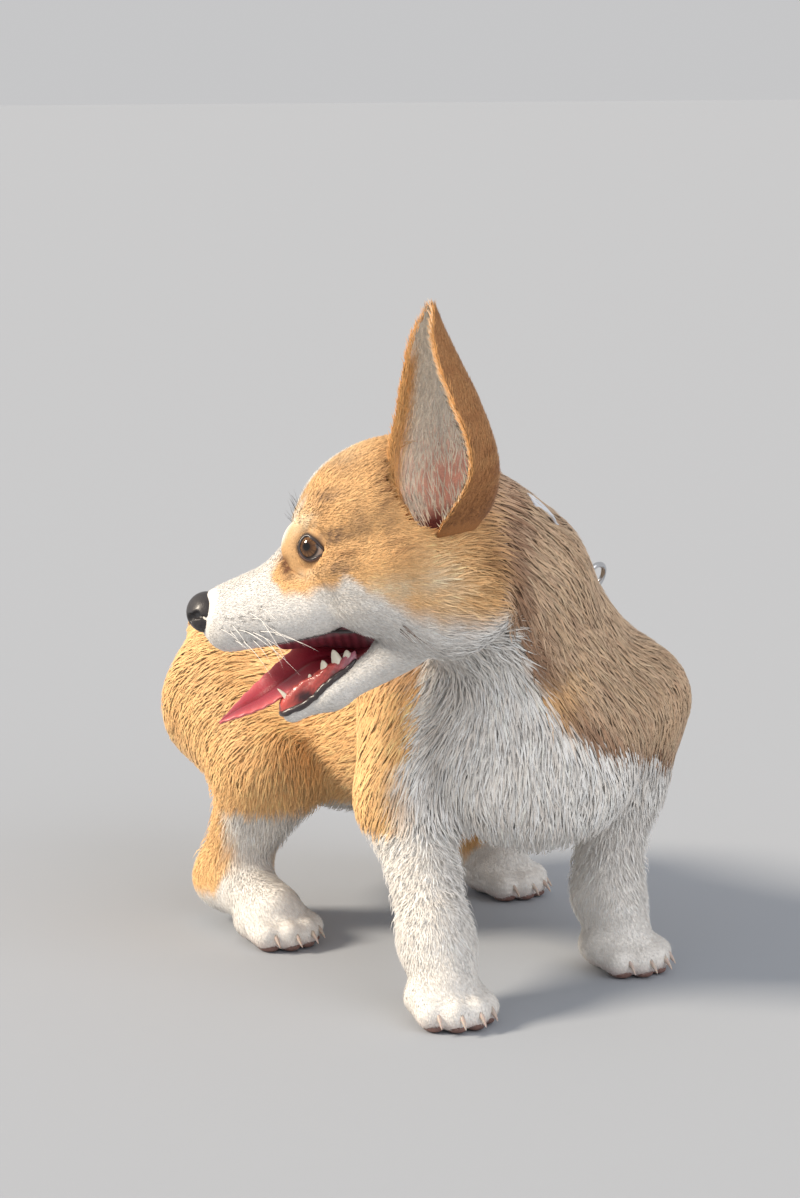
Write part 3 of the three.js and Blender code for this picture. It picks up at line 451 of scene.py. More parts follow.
# A mesh from points and one or more arrays of faces, each with as many corners as its columns
def newMesh(name, verts, *faceSets):
    mesh = bpy.data.meshes.new(name)
    sets = [np.asarray(faces) for faces in faceSets]
    corners = np.concatenate([faces.ravel() for faces in sets])
    sizes = np.concatenate([np.full(len(faces), faces.shape[1]) for faces in sets])
    mesh.vertices.add(len(verts))
    mesh.vertices.foreach_set("co", np.asarray(verts, np.float32).ravel())
    mesh.loops.add(len(corners))
    mesh.loops.foreach_set("vertex_index", corners.astype(np.int32))
    mesh.polygons.add(len(sizes))
    mesh.polygons.foreach_set("loop_start", (np.cumsum(sizes) - sizes).astype(np.int32))
    mesh.polygons.foreach_set("use_smooth", np.full(len(sizes), True))
    mesh.update(calc_edges=True)
    piece = bpy.data.objects.new(name, mesh)
    bpy.context.scene.collection.objects.link(piece)
    return piece


# A colour for each point, as an attribute that the finishes read
def paint(piece, name, colours):
    layer = piece.data.color_attributes.new(name, "FLOAT_COLOR", "POINT")
    rgba = np.ones((len(colours), 4), np.float32)
    rgba[:, :3] = colours
    layer.data.foreach_set("color", rgba.ravel())


# A piece with its finish, on the one body and in place of solids; the slot is not used
def finished(piece, slot, material, *nodes):
    piece.data.materials.append(material)
    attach(piece, "root")
    if nodes:
        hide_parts(*nodes)
    return piece


print("skin")
fineStep, bodyStep = ((1.6, 2.75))
axes = [
    spaced(-178, 128, -172, -42, fineStep, bodyStep),
    spaced(-166, 214, -146, -42, fineStep, bodyStep),
    spaced(-4, 300, 132, 290, fineStep, bodyStep),
]
skinVerts, skinFaces = netOf(skinField, axes)
for _ in range(2):
    slope = slopeOf(skinField, skinVerts, 0.3)
    step = skinField(skinVerts) / np.maximum((slope**2).sum(1), 0.25)
    skinVerts -= slope * np.clip(step, -0.7, 0.7)[:, None]
print(len(skinVerts), "skin points", len(skinFaces), "faces")


# Values of a table's columns at even steps through its rows, on smooth curves
def through(table, count):
    t = np.linspace(0, len(next(iter(table.values()))) - 1, count)
    k = np.minimum(t.astype(int), t.max().astype(int) - 1)
    f = t - k
    found = {}
    for key, column in table.items():
        v = np.array(column, float)
        tangent = np.gradient(v)
        a, b, ta, tb = v[k], v[k + 1], tangent[k], tangent[k + 1]
        found[key] = a + ta * f + (3 * (b - a) - 2 * ta - tb) * f**2 + (2 * (a - b) + ta + tb) * f**3
    return found


# Quads of a closed tube of rings, from ring to ring
def tubeFaces(rings, sides, start=0):
    i, j = np.meshgrid(np.arange(rings - 1), np.arange(sides), indexing="ij")
    a, b = i * sides + j, i * sides + (j + 1) % sides
    return np.stack([a, b, b + sides, a + sides], -1).reshape(-1, 4) + start


# Triangles from both end rings of a tube to a point of each
def capFaces(rings, sides, start=0):
    j = np.arange(sides)
    k = (j + 1) % sides
    last = (rings - 1) * sides
    low = np.stack([k, j, np.full(sides, rings * sides)], 1)
    top = np.stack([j + last, k + last, np.full(sides, rings * sides + 1)], 1)
    return np.concatenate([low, top]) + start


# A closed tube through an array of rings (rings, sides, 3), in the head's or the dog's frame
def tube(rings):
    n, sides = rings.shape[:2]
    verts = np.concatenate([rings.reshape(-1, 3), rings[:1].mean(1), rings[-1:].mean(1)])
    return verts, tubeFaces(n, sides), capFaces(n, sides)


# Rings of an ear: along its outside, round the rim and back along its inside, which has two low ridges
def earRings(side):
    level = {key: value[:, None] for key, value in through(earLevels, ear["rows"]).items()}
    steps = np.sin(np.linspace(-1.5, 1.5, ear["steps"])) / math.sin(1.5)
    share = np.concatenate([steps, steps[::-1] * 0.985])[None]
    turn = np.radians(np.where(share > 0, level["front"], level["outer"])) * share
    face = np.repeat([0.0, 1.0], ear["steps"])[None]
    thick = ear["wall"] * np.minimum(1, level["width"] / 8)
    row = np.linspace(0, 1, ear["rows"])[:, None]
    ridge = 1.6 * np.exp(-(((turn - 0.55) / 0.16) ** 2) - ((row - 0.36) / 0.2) ** 2)
    ridge = ridge + 1.3 * np.exp(-(((turn + 0.5) / 0.2) ** 2) - ((row - 0.3) / 0.16) ** 2)
    inset = mix(ear["coat"], ear["coat"] + thick, face) + face * ridge
    across = (level["width"] - inset) * np.sin(turn)
    back = (level["depth"] - inset) * np.cos(turn)
    x = level["x"] + (across - back) * diagonal
    y = side * (level["y"] - (across + back) * diagonal)
    z = level["z"] + 0 * turn
    rings = np.stack([x, y, z], -1)
    return rings if side > 0 else rings[:, ::-1]


earParts = {}
allVerts, allQuads, allTris = [skinVerts], [skinFaces], []
start = len(skinVerts)
for name, side in leftRight.items():
    rings = earRings(side)
    verts, quads, tris = tube(rings)
    earParts[name] = rings
    allVerts.append(fromHead(verts))
    allQuads.append(quads + start)
    allTris.append(tris + start)
    start += len(verts)

# Eyelids: an almond opening on the eyeball, as places round it from the eye's middle, and skin from its
# edge out over the ball and down into the head
almond = {"x": (7.6, 6.2, 4.3, 2.1, 0.3, -1.6, -4.3, -1.0, 3.2, 6.3),
          "z": (1.4, 4.7, 6.5, 6.8, 5.1, 2.7, -2.5, -4.1, -4.8, -2.7)}
lid = {"steps": 120, "outer": 8.5, "rise": 0.75, "thick": 0.9}


# A smooth closed curve through the almond's places: a cubic between each two, with their neighbours' slopes
def almondEdge():
    t = np.linspace(0, len(almond["x"]), lid["steps"], endpoint=False)
    k = t.astype(int)
    f = t - k
    found = []
    for column in almond.values():
        before, a, b, after = (np.take(column, k + n, mode="wrap") for n in (-1, 0, 1, 2))
        bend = 2 * before - 5 * a + 4 * b - after + f * (3 * (a - b) + after - before)
        found.append(a + 0.5 * f * (b - before + f * bend))
    return np.stack(found, 1)


# The farthest values between two bounds at which points of the head's frame stay inside the skin, by halving
def farInside(low, high, pointsAt, times=26):
    for _ in range(times):
        middle = (low + high) / 2
        inside = wholeSkin(fromHead(pointsAt(middle))) < 0
        low, high = np.where(inside, middle, low), np.where(inside, high, middle)
    return low


# How far out to the side the head's skin lies at places of the head's side view
def sideOf(x, z, side, reach=50.0):
    return farInside(np.zeros(len(x)), np.full(len(x), reach), lambda y: np.stack([x, side * y, z], 1))


# Rings round the almond, farther and farther out: on the eyeball at its edge, blended into the skin outwards,
# and the same again one thickness deeper
def lidShape(side):
    edge = almondEdge()
    away = unit(edge - edge.mean(0))
    rings = []
    for s in (0, 0.35, 0.9, 1.6, 2.5, 3.6, 4.9, 6.4, 7.6, lid["outer"]):
        q = edge + away * s
        x, z = q[:, 0] + eyePlace[0], q[:, 1] + eyePlace[2]
        height2 = (eye["radius"] + lid["rise"] + 0.12 * s) ** 2 - (q**2).sum(1)
        ballHeight = np.sqrt(np.maximum(height2, 4.0)) + eyePlace[1]
        ballHeight = ballHeight - 0.035 * s**2
        skinHeight = sideOf(x, z, side) - 0.7 * ramp(5.5, lid["outer"], s)
        h = np.maximum(4 - np.abs(ballHeight - skinHeight), 0) / 4
        height = np.maximum(ballHeight, skinHeight) + h * h
        height = mix(height, ballHeight, ramp(3.5, 0, s))
        rings.append(np.stack([x, side * height, z], 1))
    under = [ring - vec(0, side * lid["thick"], 0) for ring in rings[:0:-1]]
    return np.stack(rings + under)


# Quads of a closed loop of closed rings
def loopFaces(rings, sides, start=0):
    i, j = np.meshgrid(np.arange(rings), np.arange(sides), indexing="ij")
    a, b = i * sides + j, i * sides + (j + 1) % sides
    c, d = (i + 1) % rings * sides + (j + 1) % sides, (i + 1) % rings * sides + j
    return np.stack([a, b, c, d], -1).reshape(-1, 4) + start


lidParts = {}
for name, side in leftRight.items():
    rings = lidShape(side)
    rings = rings if side > 0 else rings[:, ::-1]
    quads = loopFaces(*rings.shape[:2])
    lidParts[name] = {"rings": rings, "quads": quads}
    allVerts.append(fromHead(rings.reshape(-1, 3)))
    allQuads.append(quads + start)
    start += rings.shape[0] * rings.shape[1]

# Markings: where the coat is tan, from borders on the face, round the neck and on the legs
faceLine = {"x": (-56, -46, -42, -36, -30, -20, -5, 4, 11, 17, 22, 28, 36, 47, 57, 61, 90),
            "z": (-84, -61, -37, -33, -33, -32, -26, -20, -14, -8, -3.5, -1.5, -4, -5.5, -3.5, 4, 30)}
bibTurns = {"z": (90, 100, 118, 126, 133, 138, 151, 160, 188, 213),
            "left": (340, 332, 303, 280, 258, 253, 243, 238, 235, 236),
            "right": (198, 195, 188, 187, 186, 183, 175, 165, 136, 84)}
wholeTurn = 6.283


# A soft uneven number from -1 to 1 at each point: three waves in turned ways
def waves(p, size, seed=0):
    turns = unit(np.random.default_rng(seed).normal(size=(3, 3)))
    a, b, c = (p @ turns.T / size).T * wholeTurn
    return np.sin(a + wholeTurn * 0.3 * np.sin(b * 0.7)) * 0.6 + 0.4 * np.sin(c * 1.6)


# The neck's middle at a height, seen from above
def neckMiddle(z):
    t = np.clip((z - 148) / 56, -1, 1.3)
    return mix(vec(*dog["neckBase"][:2]), vec(*dog["neckTop"][:2]), t[:, None])


# How far round the neck a point is past the white bib's left border, in degrees (about a millimetre each)
def pastBib(p):
    z = p[:, 2]
    q = p[:, :2] - neckMiddle(z)
    turn = np.degrees(np.arctan2(q[:, 1], q[:, 0])) % 360
    left, right = (np.interp(z, bibTurns["z"], bibTurns[key]) for key in ("left", "right"))
    middle = (left + right) / 2
    away = np.abs((turn - middle + 180) % 360 - 180)
    return away - (left - right) / 2


# Where the head is tan: above the face line, behind the muzzle's white and beside the blaze
def faceTan(h):
    x, y, z = h[:, 0], np.abs(h[:, 1]), h[:, 2]
    soft = 3.5 + 5 * ramp(20, -10, x)
    above = ramp(-1, 1, (z - np.interp(x, faceLine["x"], faceLine["z"])) / soft)
    front = ramp(3, -3, x - 62 + 0.69 * np.maximum(z - 6, 0))
    blaze = ramp(-1.6, 1.6, y - np.interp(x, (0, 20, 35, 55), (-3, 2.6, 3.6, 6)))
    return above * front * blaze


# 1 on the head, 0 on the neck
def headShare(h):
    return ramp(16, 4, headField(h)) * ramp(-48, -38, h[:, 0])


# 1 where the coat is tan, 0 where it is white, with uneven borders
def tanShare(p):
    p = p + np.stack([waves(p, 17, 1), waves(p, 15, 2), waves(p, 13, 3)], 1) * 1.6
    h = toHead(p)
    x, y, z = p.T
    bib = np.maximum(ramp(-3, 3, pastBib(p)), ramp(204, 214, z))
    upper = np.where(y > -36, 1, bib)
    flank = ramp(66, 74, z + 0.06 * y)
    rear = ramp(60, 76, y) * ramp(-3, 3, y - np.interp(z, (13, 33, 49, 65, 76), (80, 66, 61, 57, 30)))
    rear = rear * ramp(14, 24, z)
    low = np.maximum(flank, rear)
    arm = ramp(-2.5, 2.5, z - np.where(x < 0, 84.5 - 0.12 * (y + 75), 100))
    foreArea = ramp(-24, -36, y)
    body = mix(low, np.minimum(upper, arm), foreArea)
    inner = ramp(3, 12, np.abs(x - 8) - 30)
    body = body * mix(1, mix(1, inner, ramp(84, 72, z)), ramp(30, 50, y))
    return mix(body, faceTan(h), headShare(h))


# A soft spot of the head's side view: a bell curve round (x, z) with a reach each way
def spot(h, x, z, reachX, reachZ):
    return np.exp(-(((h[:, 0] - x) / reachX) ** 2 + ((h[:, 2] - z) / reachZ) ** 2))


coatTints = {
    "tan": (0.80, 0.375, 0.125), "tanTip": (0.95, 0.585, 0.265), "cream": (0.90, 0.70, 0.46),
    "brown": (0.20, 0.075, 0.024), "white": (0.90, 0.87, 0.83), "whiteRoot": (0.80, 0.74, 0.67),
    # The sable tints, used in the mantle, are partly the coat's own colour and partly painted shade
    "grey": (0.20, 0.115, 0.070), "sable": (0.30, 0.165, 0.098), "sableTip": (0.55, 0.385, 0.275),
    "pink": (0.72, 0.40, 0.34), "black": (0.016, 0.012, 0.011), "gum": (0.56, 0.115, 0.12),
}
tint = {name: vec(*colour) for name, colour in coatTints.items()}
# Patches of the head: how far root and tip take the tint, and each spot's strength, place and reach
headPatches = [
    {"tint": "grey", "root": 0.85, "tip": 0.7,
     "spots": [(1.1, 27, 18.4, 8, 4.5), (1, 28, 3.6, 8, 3.5), (0.9, 28, 37, 8, 3.5), (0.6, 18, 50, 10, 6),
               (0.7, 14, 22, 5, 9), (0.5, 2, 22, 4, 12)]},
    {"tint": "brown", "root": 0.8, "tip": 0.6,
     "spots": [(1.9, 53.3, 9, 2.6, 6), (1, 24, 9.5, 8, 2), (1.1, -3, 40, 7, 15), (0.7, -3, 6, 8, 9),
               (0.9, -40, -4, 9, 24), (0.5, 34, 30, 9, 4)]},
    # The cream patch's spot on the crown, at (20, 56), paints the top of the head paler as rim light
    {"tint": "cream", "root": 0.7, "tip": 1.0,
     "spots": [(0.8, 40, 28, 5, 4), (0.6, 44, 3, 6, 3), (0.9, 8, -11, 17, 6), (0.7, -17, -14, 9, 13),
               (0.6, 46, 34, 7, 14), (0.4, 20, 56, 16, 6)]},
]


# Root and tip colours of the coat at points of the skin: tan, with a darker sable mantle on neck and left
# shoulder, partly its own colour and partly painted shade, that has light strands and a dark band along the
# bib, the head's patches, then white, pink toes and dots
def coatColours(p):
    h = toHead(p)
    tan = tanShare(p)[:, None]
    onHead = headShare(h)[:, None]
    past = pastBib(p)[:, None]
    # The mantle's darker sable is partly the coat's own colour and partly painted shade
    mantleAndShade = (1 - onHead) * ramp(-8, -64, p[:, 1:2]) * ramp(92, 120, p[:, 2:3])
    mantleAndShade = mantleAndShade * np.maximum(ramp(150, 178, p[:, 2:3]), ramp(-20, 8, p[:, 0:1]))
    root = np.repeat(tint["tan"][None], len(p), 0)
    tip = np.repeat(tint["tanTip"][None], len(p), 0)
    strand = (0.5 + 0.5 * waves(p, 6, 14))[:, None]
    root = mix(root, tint["sable"], mantleAndShade * 0.9)
    lightStrand = 0.75 * strand * ramp(4, 30, past)
    tip = mix(tip, mix(tint["sableTip"], tint["cream"] * 0.85, lightStrand), mantleAndShade * 0.9)
    band = mantleAndShade * ramp(-2, 3, past) * ramp(22, 7, past)
    root = mix(root, tint["brown"], 0.75 * band)
    tip = mix(tip, tint["sable"] * 0.9, 0.8 * band)
    streaks = 1 + 0.45 * waves(p, 5, 12)
    for patch in headPatches:
        amount = sum(strength * spot(h, *place) for strength, *place in patch["spots"]) * streaks
        amount = amount[:, None]
        root = mix(root, tint[patch["tint"]], np.clip(amount * patch["root"], 0, 1) * onHead)
        tip = mix(tip, tint[patch["tint"]], np.clip(amount * patch["tip"], 0, 1) * onHead)
    tip = mix(tint["white"], tip, tan)
    root = mix(mix(tint["whiteRoot"], root, tan), tip, 0.4)
    blotch = (1 + 0.07 * waves(p, 40, 5) + 0.05 * waves(p, 11, 6))[:, None]
    toesPink = ramp(9, 3, p[:, 2:3]) * 0.35
    root = mix(root, tint["pink"], toesPink) * blotch
    tip = mix(tip, tint["pink"], toesPink * 0.5) * blotch
    dots = whiskerDots(h)[:, None] * onHead
    return mix(root, tint["black"], dots * 0.8), mix(tip, tint["black"], dots * 0.7)


# Roots of the whiskers in the muzzle's side view, in rows that run back and stray a little
whiskers = {"rows": [(-9.5, 86, 5), (-13, 88, 6), (-16.5, 87, 6), (-20, 84, 5)], "apart": 4.3, "stray": 1.5}
whiskerRoots = []
for row, (z, first, count) in enumerate(whiskers["rows"]):
    for n in range(count):
        stray = whiskers["stray"] * np.sin([7.1 * n + 2.3 * row, 5.3 * n + 4.1 * row])
        x = first - whiskers["apart"] * n - row * 0.4 + stray[0]
        whiskerRoots.append((x, z - 0.25 * n * (row - 1) + 0.8 * stray[1]))


# Dark dots round the whiskers' roots
def whiskerDots(h):
    near = (h[:, 0] > 55) & (h[:, 2] < 0)
    dots = np.zeros(len(h))
    if near.any():
        q = h[near]
        far = np.min([np.hypot(q[:, 0] - x, q[:, 2] - z) for x, z in whiskerRoots], axis=0)
        dots[near] = ramp(1.25, 0.4, far)
    return dots


# How deep a point of the mouth or throat lies below the uncut head
def mouthDepth(p):
    h = toHead(p)
    deep = np.zeros(len(p))
    near = (mouthGap(h) < 3.5) | (throatHole(h) < 3)
    if near.any():
        deep[near] = -wholeSkin(p[near])
    return deep


earColours = {"skin": vec(0.94, 0.86, 0.76), "root": vec(0.94, 0.86, 0.74), "tip": vec(0.96, 0.92, 0.84)}


# Colours of the ears' skin: brown outside, partly its own colour and partly painted shade, cream to pink
# inside with a tan front, and painted shade in the ear canal, dark nearly to black
def earTints(name):
    rings = earParts[name]
    rows, sides = rings.shape[:2]
    v = np.linspace(-1, 1, ear["steps"])
    order = slice(None) if name == "left" else slice(None, None, -1)
    v = np.concatenate([v, v[::-1]])[order][None]
    inside = np.repeat([0.0, 1.0], ear["steps"])[order][None] + 0 * rings[..., 0]
    row = np.linspace(0, 1, rows)[:, None]
    pink = inside * ramp(0.62, 0.3, row) * np.exp(-(((v - 0.12) / 0.42) ** 2))
    # Painted shade: the ear canal at the bottom of the inside is darkened to a deep red-black
    canalShade = inside * ramp(0.22, 0.1, row)
    # The outside's brown is partly the ear's own colour and partly painted shade
    tints = np.where(inside[..., None] > 0.5, earColours["skin"], mix(tint["tan"], tint["brown"], 0.75))
    tints = mix(tints, tint["tan"], (inside * ramp(0.5, 0.75, v) * ramp(0.85, 0.7, row))[..., None])
    tints = mix(tints, tint["pink"], np.clip(pink * 1.1, 0, 1)[..., None])
    tints = mix(tints, tint["gum"] * 0.25, canalShade[..., None])
    return np.concatenate([tints.reshape(-1, 3), tint["tan"][None], tint["tan"][None]])


# Painted shade: the skin between the tufts is a little darker than the coat's mean colour
shadeUnderCoat = 0.94  # the skin's brightness under the tufts


# Colours of the lids: the coat's, dark at the edge with a pale line along the lower one
def lidTints(name):
    rings = lidParts[name]["rings"]
    points = rings.reshape(-1, 3)
    root, tip = coatColours(fromHead(points))
    tints = mix(root, tip, 0.5) * shadeUnderCoat
    gap = np.hypot(points[:, 0] - rings[0, :, 0].mean(), points[:, 2] - rings[0, :, 2].mean())
    gap = gap - np.tile(np.hypot(*(rings[0] - rings[0].mean(0))[:, ::2].T), len(rings))
    tints = mix(tints, tint["brown"] * 0.5, ramp(3.2, 1.0, gap)[:, None] * 0.75)
    tints = mix(tints, tint["black"], ramp(1.3, 0.7, gap)[:, None])
    lower = ramp(0, -1.5, points[:, 2] - eyePlace[2]) * ramp(0.55, 0.2, gap)
    return mix(tints, tint["pink"] * 0.8, lower[:, None] * 0.6)


# Distance from the middle of the chin's dark, bare patch, 1 at its border
def chinReach(h):
    return np.linalg.norm((h - vec(70, 0, -58)) / (5, 6, 4), axis=1)


deep = mouthDepth(skinVerts)
rootTint, tipTint = coatColours(skinVerts)
skinTint = mix(rootTint, tipTint, 0.5) * shadeUnderCoat
skinTint = mix(skinTint, tint["black"], ramp(0.5, 1.2, deep)[:, None])
# Painted shade: deep in the mouth and throat the skin turns a darkened gum colour
skinTint = mix(skinTint, tint["gum"] * 0.4, ramp(2.0, 4.0, deep)[:, None])
onChin = ramp(1.15, 0.85, chinReach(toHead(skinVerts)))[:, None]
skinTint = mix(skinTint, tint["black"], onChin)
skin = newMesh("skin", inPlace(np.concatenate(allVerts)), np.concatenate(allQuads), np.concatenate(allTris))
allTints = [skinTint, *[earTints(name) for name in earParts], *[lidTints(name) for name in lidParts]]
paint(skin, "coat", np.concatenate(allTints))
wet = np.concatenate([ramp(1, 3, deep), np.zeros(start - len(deep))])[:, None]
paint(skin, "wet", np.repeat(wet, 3, 1))


# The lie of the coat on the head: back over the skull, back and down over cheeks and throat
def headWay(h):
    side = np.sign(h[:, 1])
    down = ramp(6, -34, h[:, 2])
    upper = ramp(24, 44, h[:, 2]) * ramp(64, 40, h[:, 0])
    way = np.stack([-1 + 0 * side, 0.12 * side + 0.2 * side * upper, 0.3 * upper - 0.42 * down], 1)
    return way @ headTurn.T


# The lie of the coat on each form of the body
lies = [
    (neckFields[0], (0.62, -0.02, -0.80)), (neckFields[1], (0.62, 0.2, -0.72)),
    (limb(dog["chestFront"], dog["midBack"], 60, 57), (0, 1, -0.55)),
    (limb(dog["midBack"], dog["loin"], 57, 56), (-0.1, 1, -0.42)),
    (limb(dog["loin"], dog["rump"], 56, 52), (-0.2, 0.85, -0.5)),
    (ball(dog["breast"], (34, 52, 48), 65), (0.12, 0, -1)),
    (limb(dog["tailRoot"], dog["tailTip"], 19, 13), (0.3, 1, -0.2)),
]
for k, part in enumerate(legParts):
    rearward = 0.35 if k < 2 else 0.45
    lies += [(part[0], (0, rearward, -1)), (part[1], (0, 0.22, -1)), (part[2], (0, -0.5, -0.7))]


# Ways of the nearest forms, with those a few millimetres farther off blended in
def wayAt(p, normal):
    fields = np.stack([field(p) for field, _ in lies], 1)
    weight = np.exp(-(fields - fields.min(1, keepdims=True)) / 7)
    way = weight @ np.array([w for _, w in lies], float)
    h = toHead(p)
    share = headShare(h)[:, None]
    way = mix(unit(way), unit(headWay(h)), share)
    back = (1 - share) * ramp(-0.2, 0.6, normal[:, 1:2]) * ramp(100, 80, p[:, 2:3])
    way = way + back * vec(0, 0.35, 0)
    for k, leg in enumerate(legs):
        local = toPaw(leg, p)
        onPaw = (ramp(34, 18, p[:, 2]) * ramp(42, 30, np.hypot(local[:, 0], local[:, 1])))[:, None]
        ahead = unit(np.stack([np.full(len(p), 0.9), local[:, 1] * 0.02, np.full(len(p), -0.75)], 1))
        way = mix(way, ahead @ turnAbout(2, leg["turn"]).T, onPaw)
    way = way - normal * (way * normal).sum(1, keepdims=True)
    return unit(way)


# Lengths of tufts: on the body, and how much more in the ruff and on the breeches; on the limbs, and how much
# more in the feathers; on paws, crown, cheeks, muzzle and round the eyes
tufts = {"body": 12, "ruff": 7, "breeches": 6, "limbs": 6.5, "feather": 8, "paws": 3.2, "crown": 5.2,
         "cheeks": 9.5, "muzzle": 2.1, "eyes": 1.8}


# Length of a tuft in millimetres at points of the skin
def tuftLength(p, normal):
    h = toHead(p)
    share = headShare(h)
    ruff = ramp(-30, -48, p[:, 1]) * ramp(84, 110, p[:, 2])
    breeches = ramp(0.0, 0.7, normal[:, 1]) * ramp(84, 110, p[:, 1]) * ramp(40, 60, p[:, 2])
    body = tufts["body"] + tufts["ruff"] * ruff + tufts["breeches"] * breeches
    feather = ramp(0.1, 0.7, normal[:, 1]) * ramp(30, 46, p[:, 2]) * ramp(96, 80, p[:, 2])
    limbs = tufts["limbs"] + tufts["feather"] * feather
    body = mix(limbs, body, ramp(74, 96, p[:, 2]))
    body = mix(tufts["paws"], body, ramp(16, 42, p[:, 2]))
    face = mix(tufts["crown"], tufts["cheeks"], ramp(0, -34, h[:, 0]) * ramp(20, -10, h[:, 2]))
    face = mix(tufts["muzzle"], face, ramp(2, 22, np.minimum(muzzle(h), jawLine(h) + 2)))
    around = np.linalg.norm(folded(h) - eyePlace, axis=1)
    face = mix(tufts["eyes"], face, ramp(9, 20, around))
    return mix(body, face, share)


# Tufts: closed blades of three sides that narrow to a point along a path, shaded softly with the coat
# path (n, rings + 1, 3), out (n, rings, 3), half widths (n, rings), tints (n, rings + 1, 3), roots' UV (n, 2)
def tuftMesh(name, path, out, half, tints, uv, soft=0.8):
    n, rings = half.shape
    along = unit(path[:, 1:] - path[:, :-1])
    aside = unit(np.cross(out, along))
    lift = np.cross(along, aside)
    centre = path[:, :-1]
    wide = aside * half[..., None]
    high = lift * (half * 0.55)[..., None]
    offsets = np.stack([wide - high * 0.4, high, -wide - high * 0.4], 2)
    verts = np.concatenate([(centre[:, :, None] + offsets).reshape(n, rings * 3, 3), path[:, -1:]], 1)
    normals = unit(out[:, :, None] * soft + unit(offsets) * (1 - soft)).reshape(n, rings * 3, 3)
    normals = np.concatenate([normals, out[:, -1:]], 1)
    verts[..., 2] = np.maximum(verts[..., 2], 0.2)
    count = rings * 3 + 1
    faces = [(0, 2, 1)]
    for ring in range(rings - 1):
        for side in range(3):
            a, b = ring * 3 + side, ring * 3 + (side + 1) % 3
            faces += [(a, b, b + 3), (a, b + 3, a + 3)]
    top = (rings - 1) * 3
    faces += [(top + side, top + (side + 1) % 3, count - 1) for side in range(3)]
    faces = np.array(faces)[None] + (np.arange(n) * count)[:, None, None]
    piece = newMesh(name, inPlace(verts.reshape(-1, 3)), faces.reshape(-1, 3))
    piece.data.normals_split_custom_set_from_vertices(normals.reshape(-1, 3).tolist())
    ringTints = np.repeat(tints[:, :-1], 3, 1)
    paint(piece, "coat", np.concatenate([ringTints, tints[:, -1:]], 1).reshape(-1, 3))
    spread = np.zeros((n, count, 2))
    level = np.repeat(np.arange(rings), 3) / rings
    spread[:, :-1, 1] = level
    spread[:, -1, 1] = 1
    spread[:, :-1, 0] = np.tile([0.5, 0, -0.5], rings) * (1 - level)
    spread = (uv[:, None] + spread * 0.003).reshape(-1, 2)
    layer = piece.data.uv_layers.new(name="OFBake")
    layer.data.foreach_set("uv", spread[faces.ravel()].astype(np.float32).ravel())
    return piece


# Random points on triangles, as many to each as its area times a density
def scatter(verts, tris, density):
    a, b, c = cornersOf(verts, tris)
    area = np.linalg.norm(np.cross(b - a, c - a), axis=1) / 2
    wanted = area * density
    count = np.floor(wanted + rng.random(len(wanted))).astype(int)
    which = np.repeat(np.arange(len(tris)), count)
    u, v = rng.random((2, len(which)))
    over = u + v > 1
    u[over], v[over] = 1 - u[over], 1 - v[over]
    return which, a[which] + (b - a)[which] * u[:, None] + (c - a)[which] * v[:, None]


# Cylinder unwraps of the skin's own forms: round each form's axis and along it
forms = {
    "head": None,
    "neck": (dog["neckBase"], dog["neckTop"]),
    "torso": ((10, -100, 118), (-20, 190, 120)),
    "legs": None,
}


def nearestOf(part):
    return lambda p: np.min([field(p) for field in part], axis=0)


# UV of points on a form: the turn round its axis, and how far along it they lie
def unwrap(form, p):
    if form == "head":
        h = toHead(p)
        return np.stack([np.arctan2(h[:, 1], -h[:, 2] - 6) / 6.35 + 0.5, (h[:, 0] + 70) / 200], 1)
    if form == "legs":
        which = np.argmin([field(p) for field in (nearestOf(part) for part in legParts)], axis=0)
        uv = np.zeros((len(p), 2))
        for k, part in enumerate(legs):
            on = which == k
            q = p[on]
            line = np.array([part["top"], part["middle"], part["low"], (*part["paw"], 10)], float)[::-1]
            centre = np.stack([np.interp(q[:, 2], np.sort(line[:, 2]), line[:, m]) for m in (0, 1)], 1)
            turn = np.arctan2(q[:, 1] - centre[:, 1], q[:, 0] - centre[:, 0])
            uv[on] = np.stack([(turn / 6.4 + 0.5 + k) / 4, q[:, 2] / 170], 1)
        return uv
    a, b = (vec(*v) for v in forms[form])
    z = unit(b - a)
    x = unit(np.cross((0.3, 0.2, 1) if abs(z[2]) < 0.7 else (0, -1, 0.2), z))
    q = p - a
    reach = np.linalg.norm(b - a)
    return np.stack([np.arctan2(q @ np.cross(z, x), q @ x) / 6.35 + 0.5, (q @ z / reach + 0.8) / 2.6], 1)


# The number, in forms, of the form that each point lies on
def formOf(p):
    onHead = headShare(toHead(p)) > 0.5
    legDistance = np.min([nearestOf(part)(p) for part in legParts], axis=0)
    torsoDistance = torsoField(p)
    neck = np.min([field(p) for field in neckFields], axis=0)
    onLegs = (legDistance < torsoDistance - 1) | (p[:, 2] < 62)
    onNeck = (p[:, 2] > 150) & (p[:, 1] < -30) | (neck < 1) & (p[:, 2] > 132)
    return np.where(onHead, 0, np.where(onLegs, 3, np.where(onNeck, 1, 2)))


# The collar: round the neck behind the head, on the skin under the coat
strap = {"steps": 144, "corners": [(-4.5, -0.5), (-4.2, -0.9), (4.2, -0.9), (4.5, -0.5),
                                   (4.5, 0.5), (4.2, 0.9), (-4.2, 0.9), (-4.5, 0.5)]}
strapMiddle = mix(vec(*dog["neckTop"]), vec(*dog["nape"]), 0.67)
strapAxis = headTurn @ vec(0.8, 0, 0.6)
strapSide = unit(np.cross(strapAxis, (0, 0, 1)))
strapTop = np.cross(strapSide, strapAxis)
strapTurns = roundSteps(strap["steps"])
strapOut = np.cos(strapTurns)[:, None] * strapSide + np.sin(strapTurns)[:, None] * strapTop


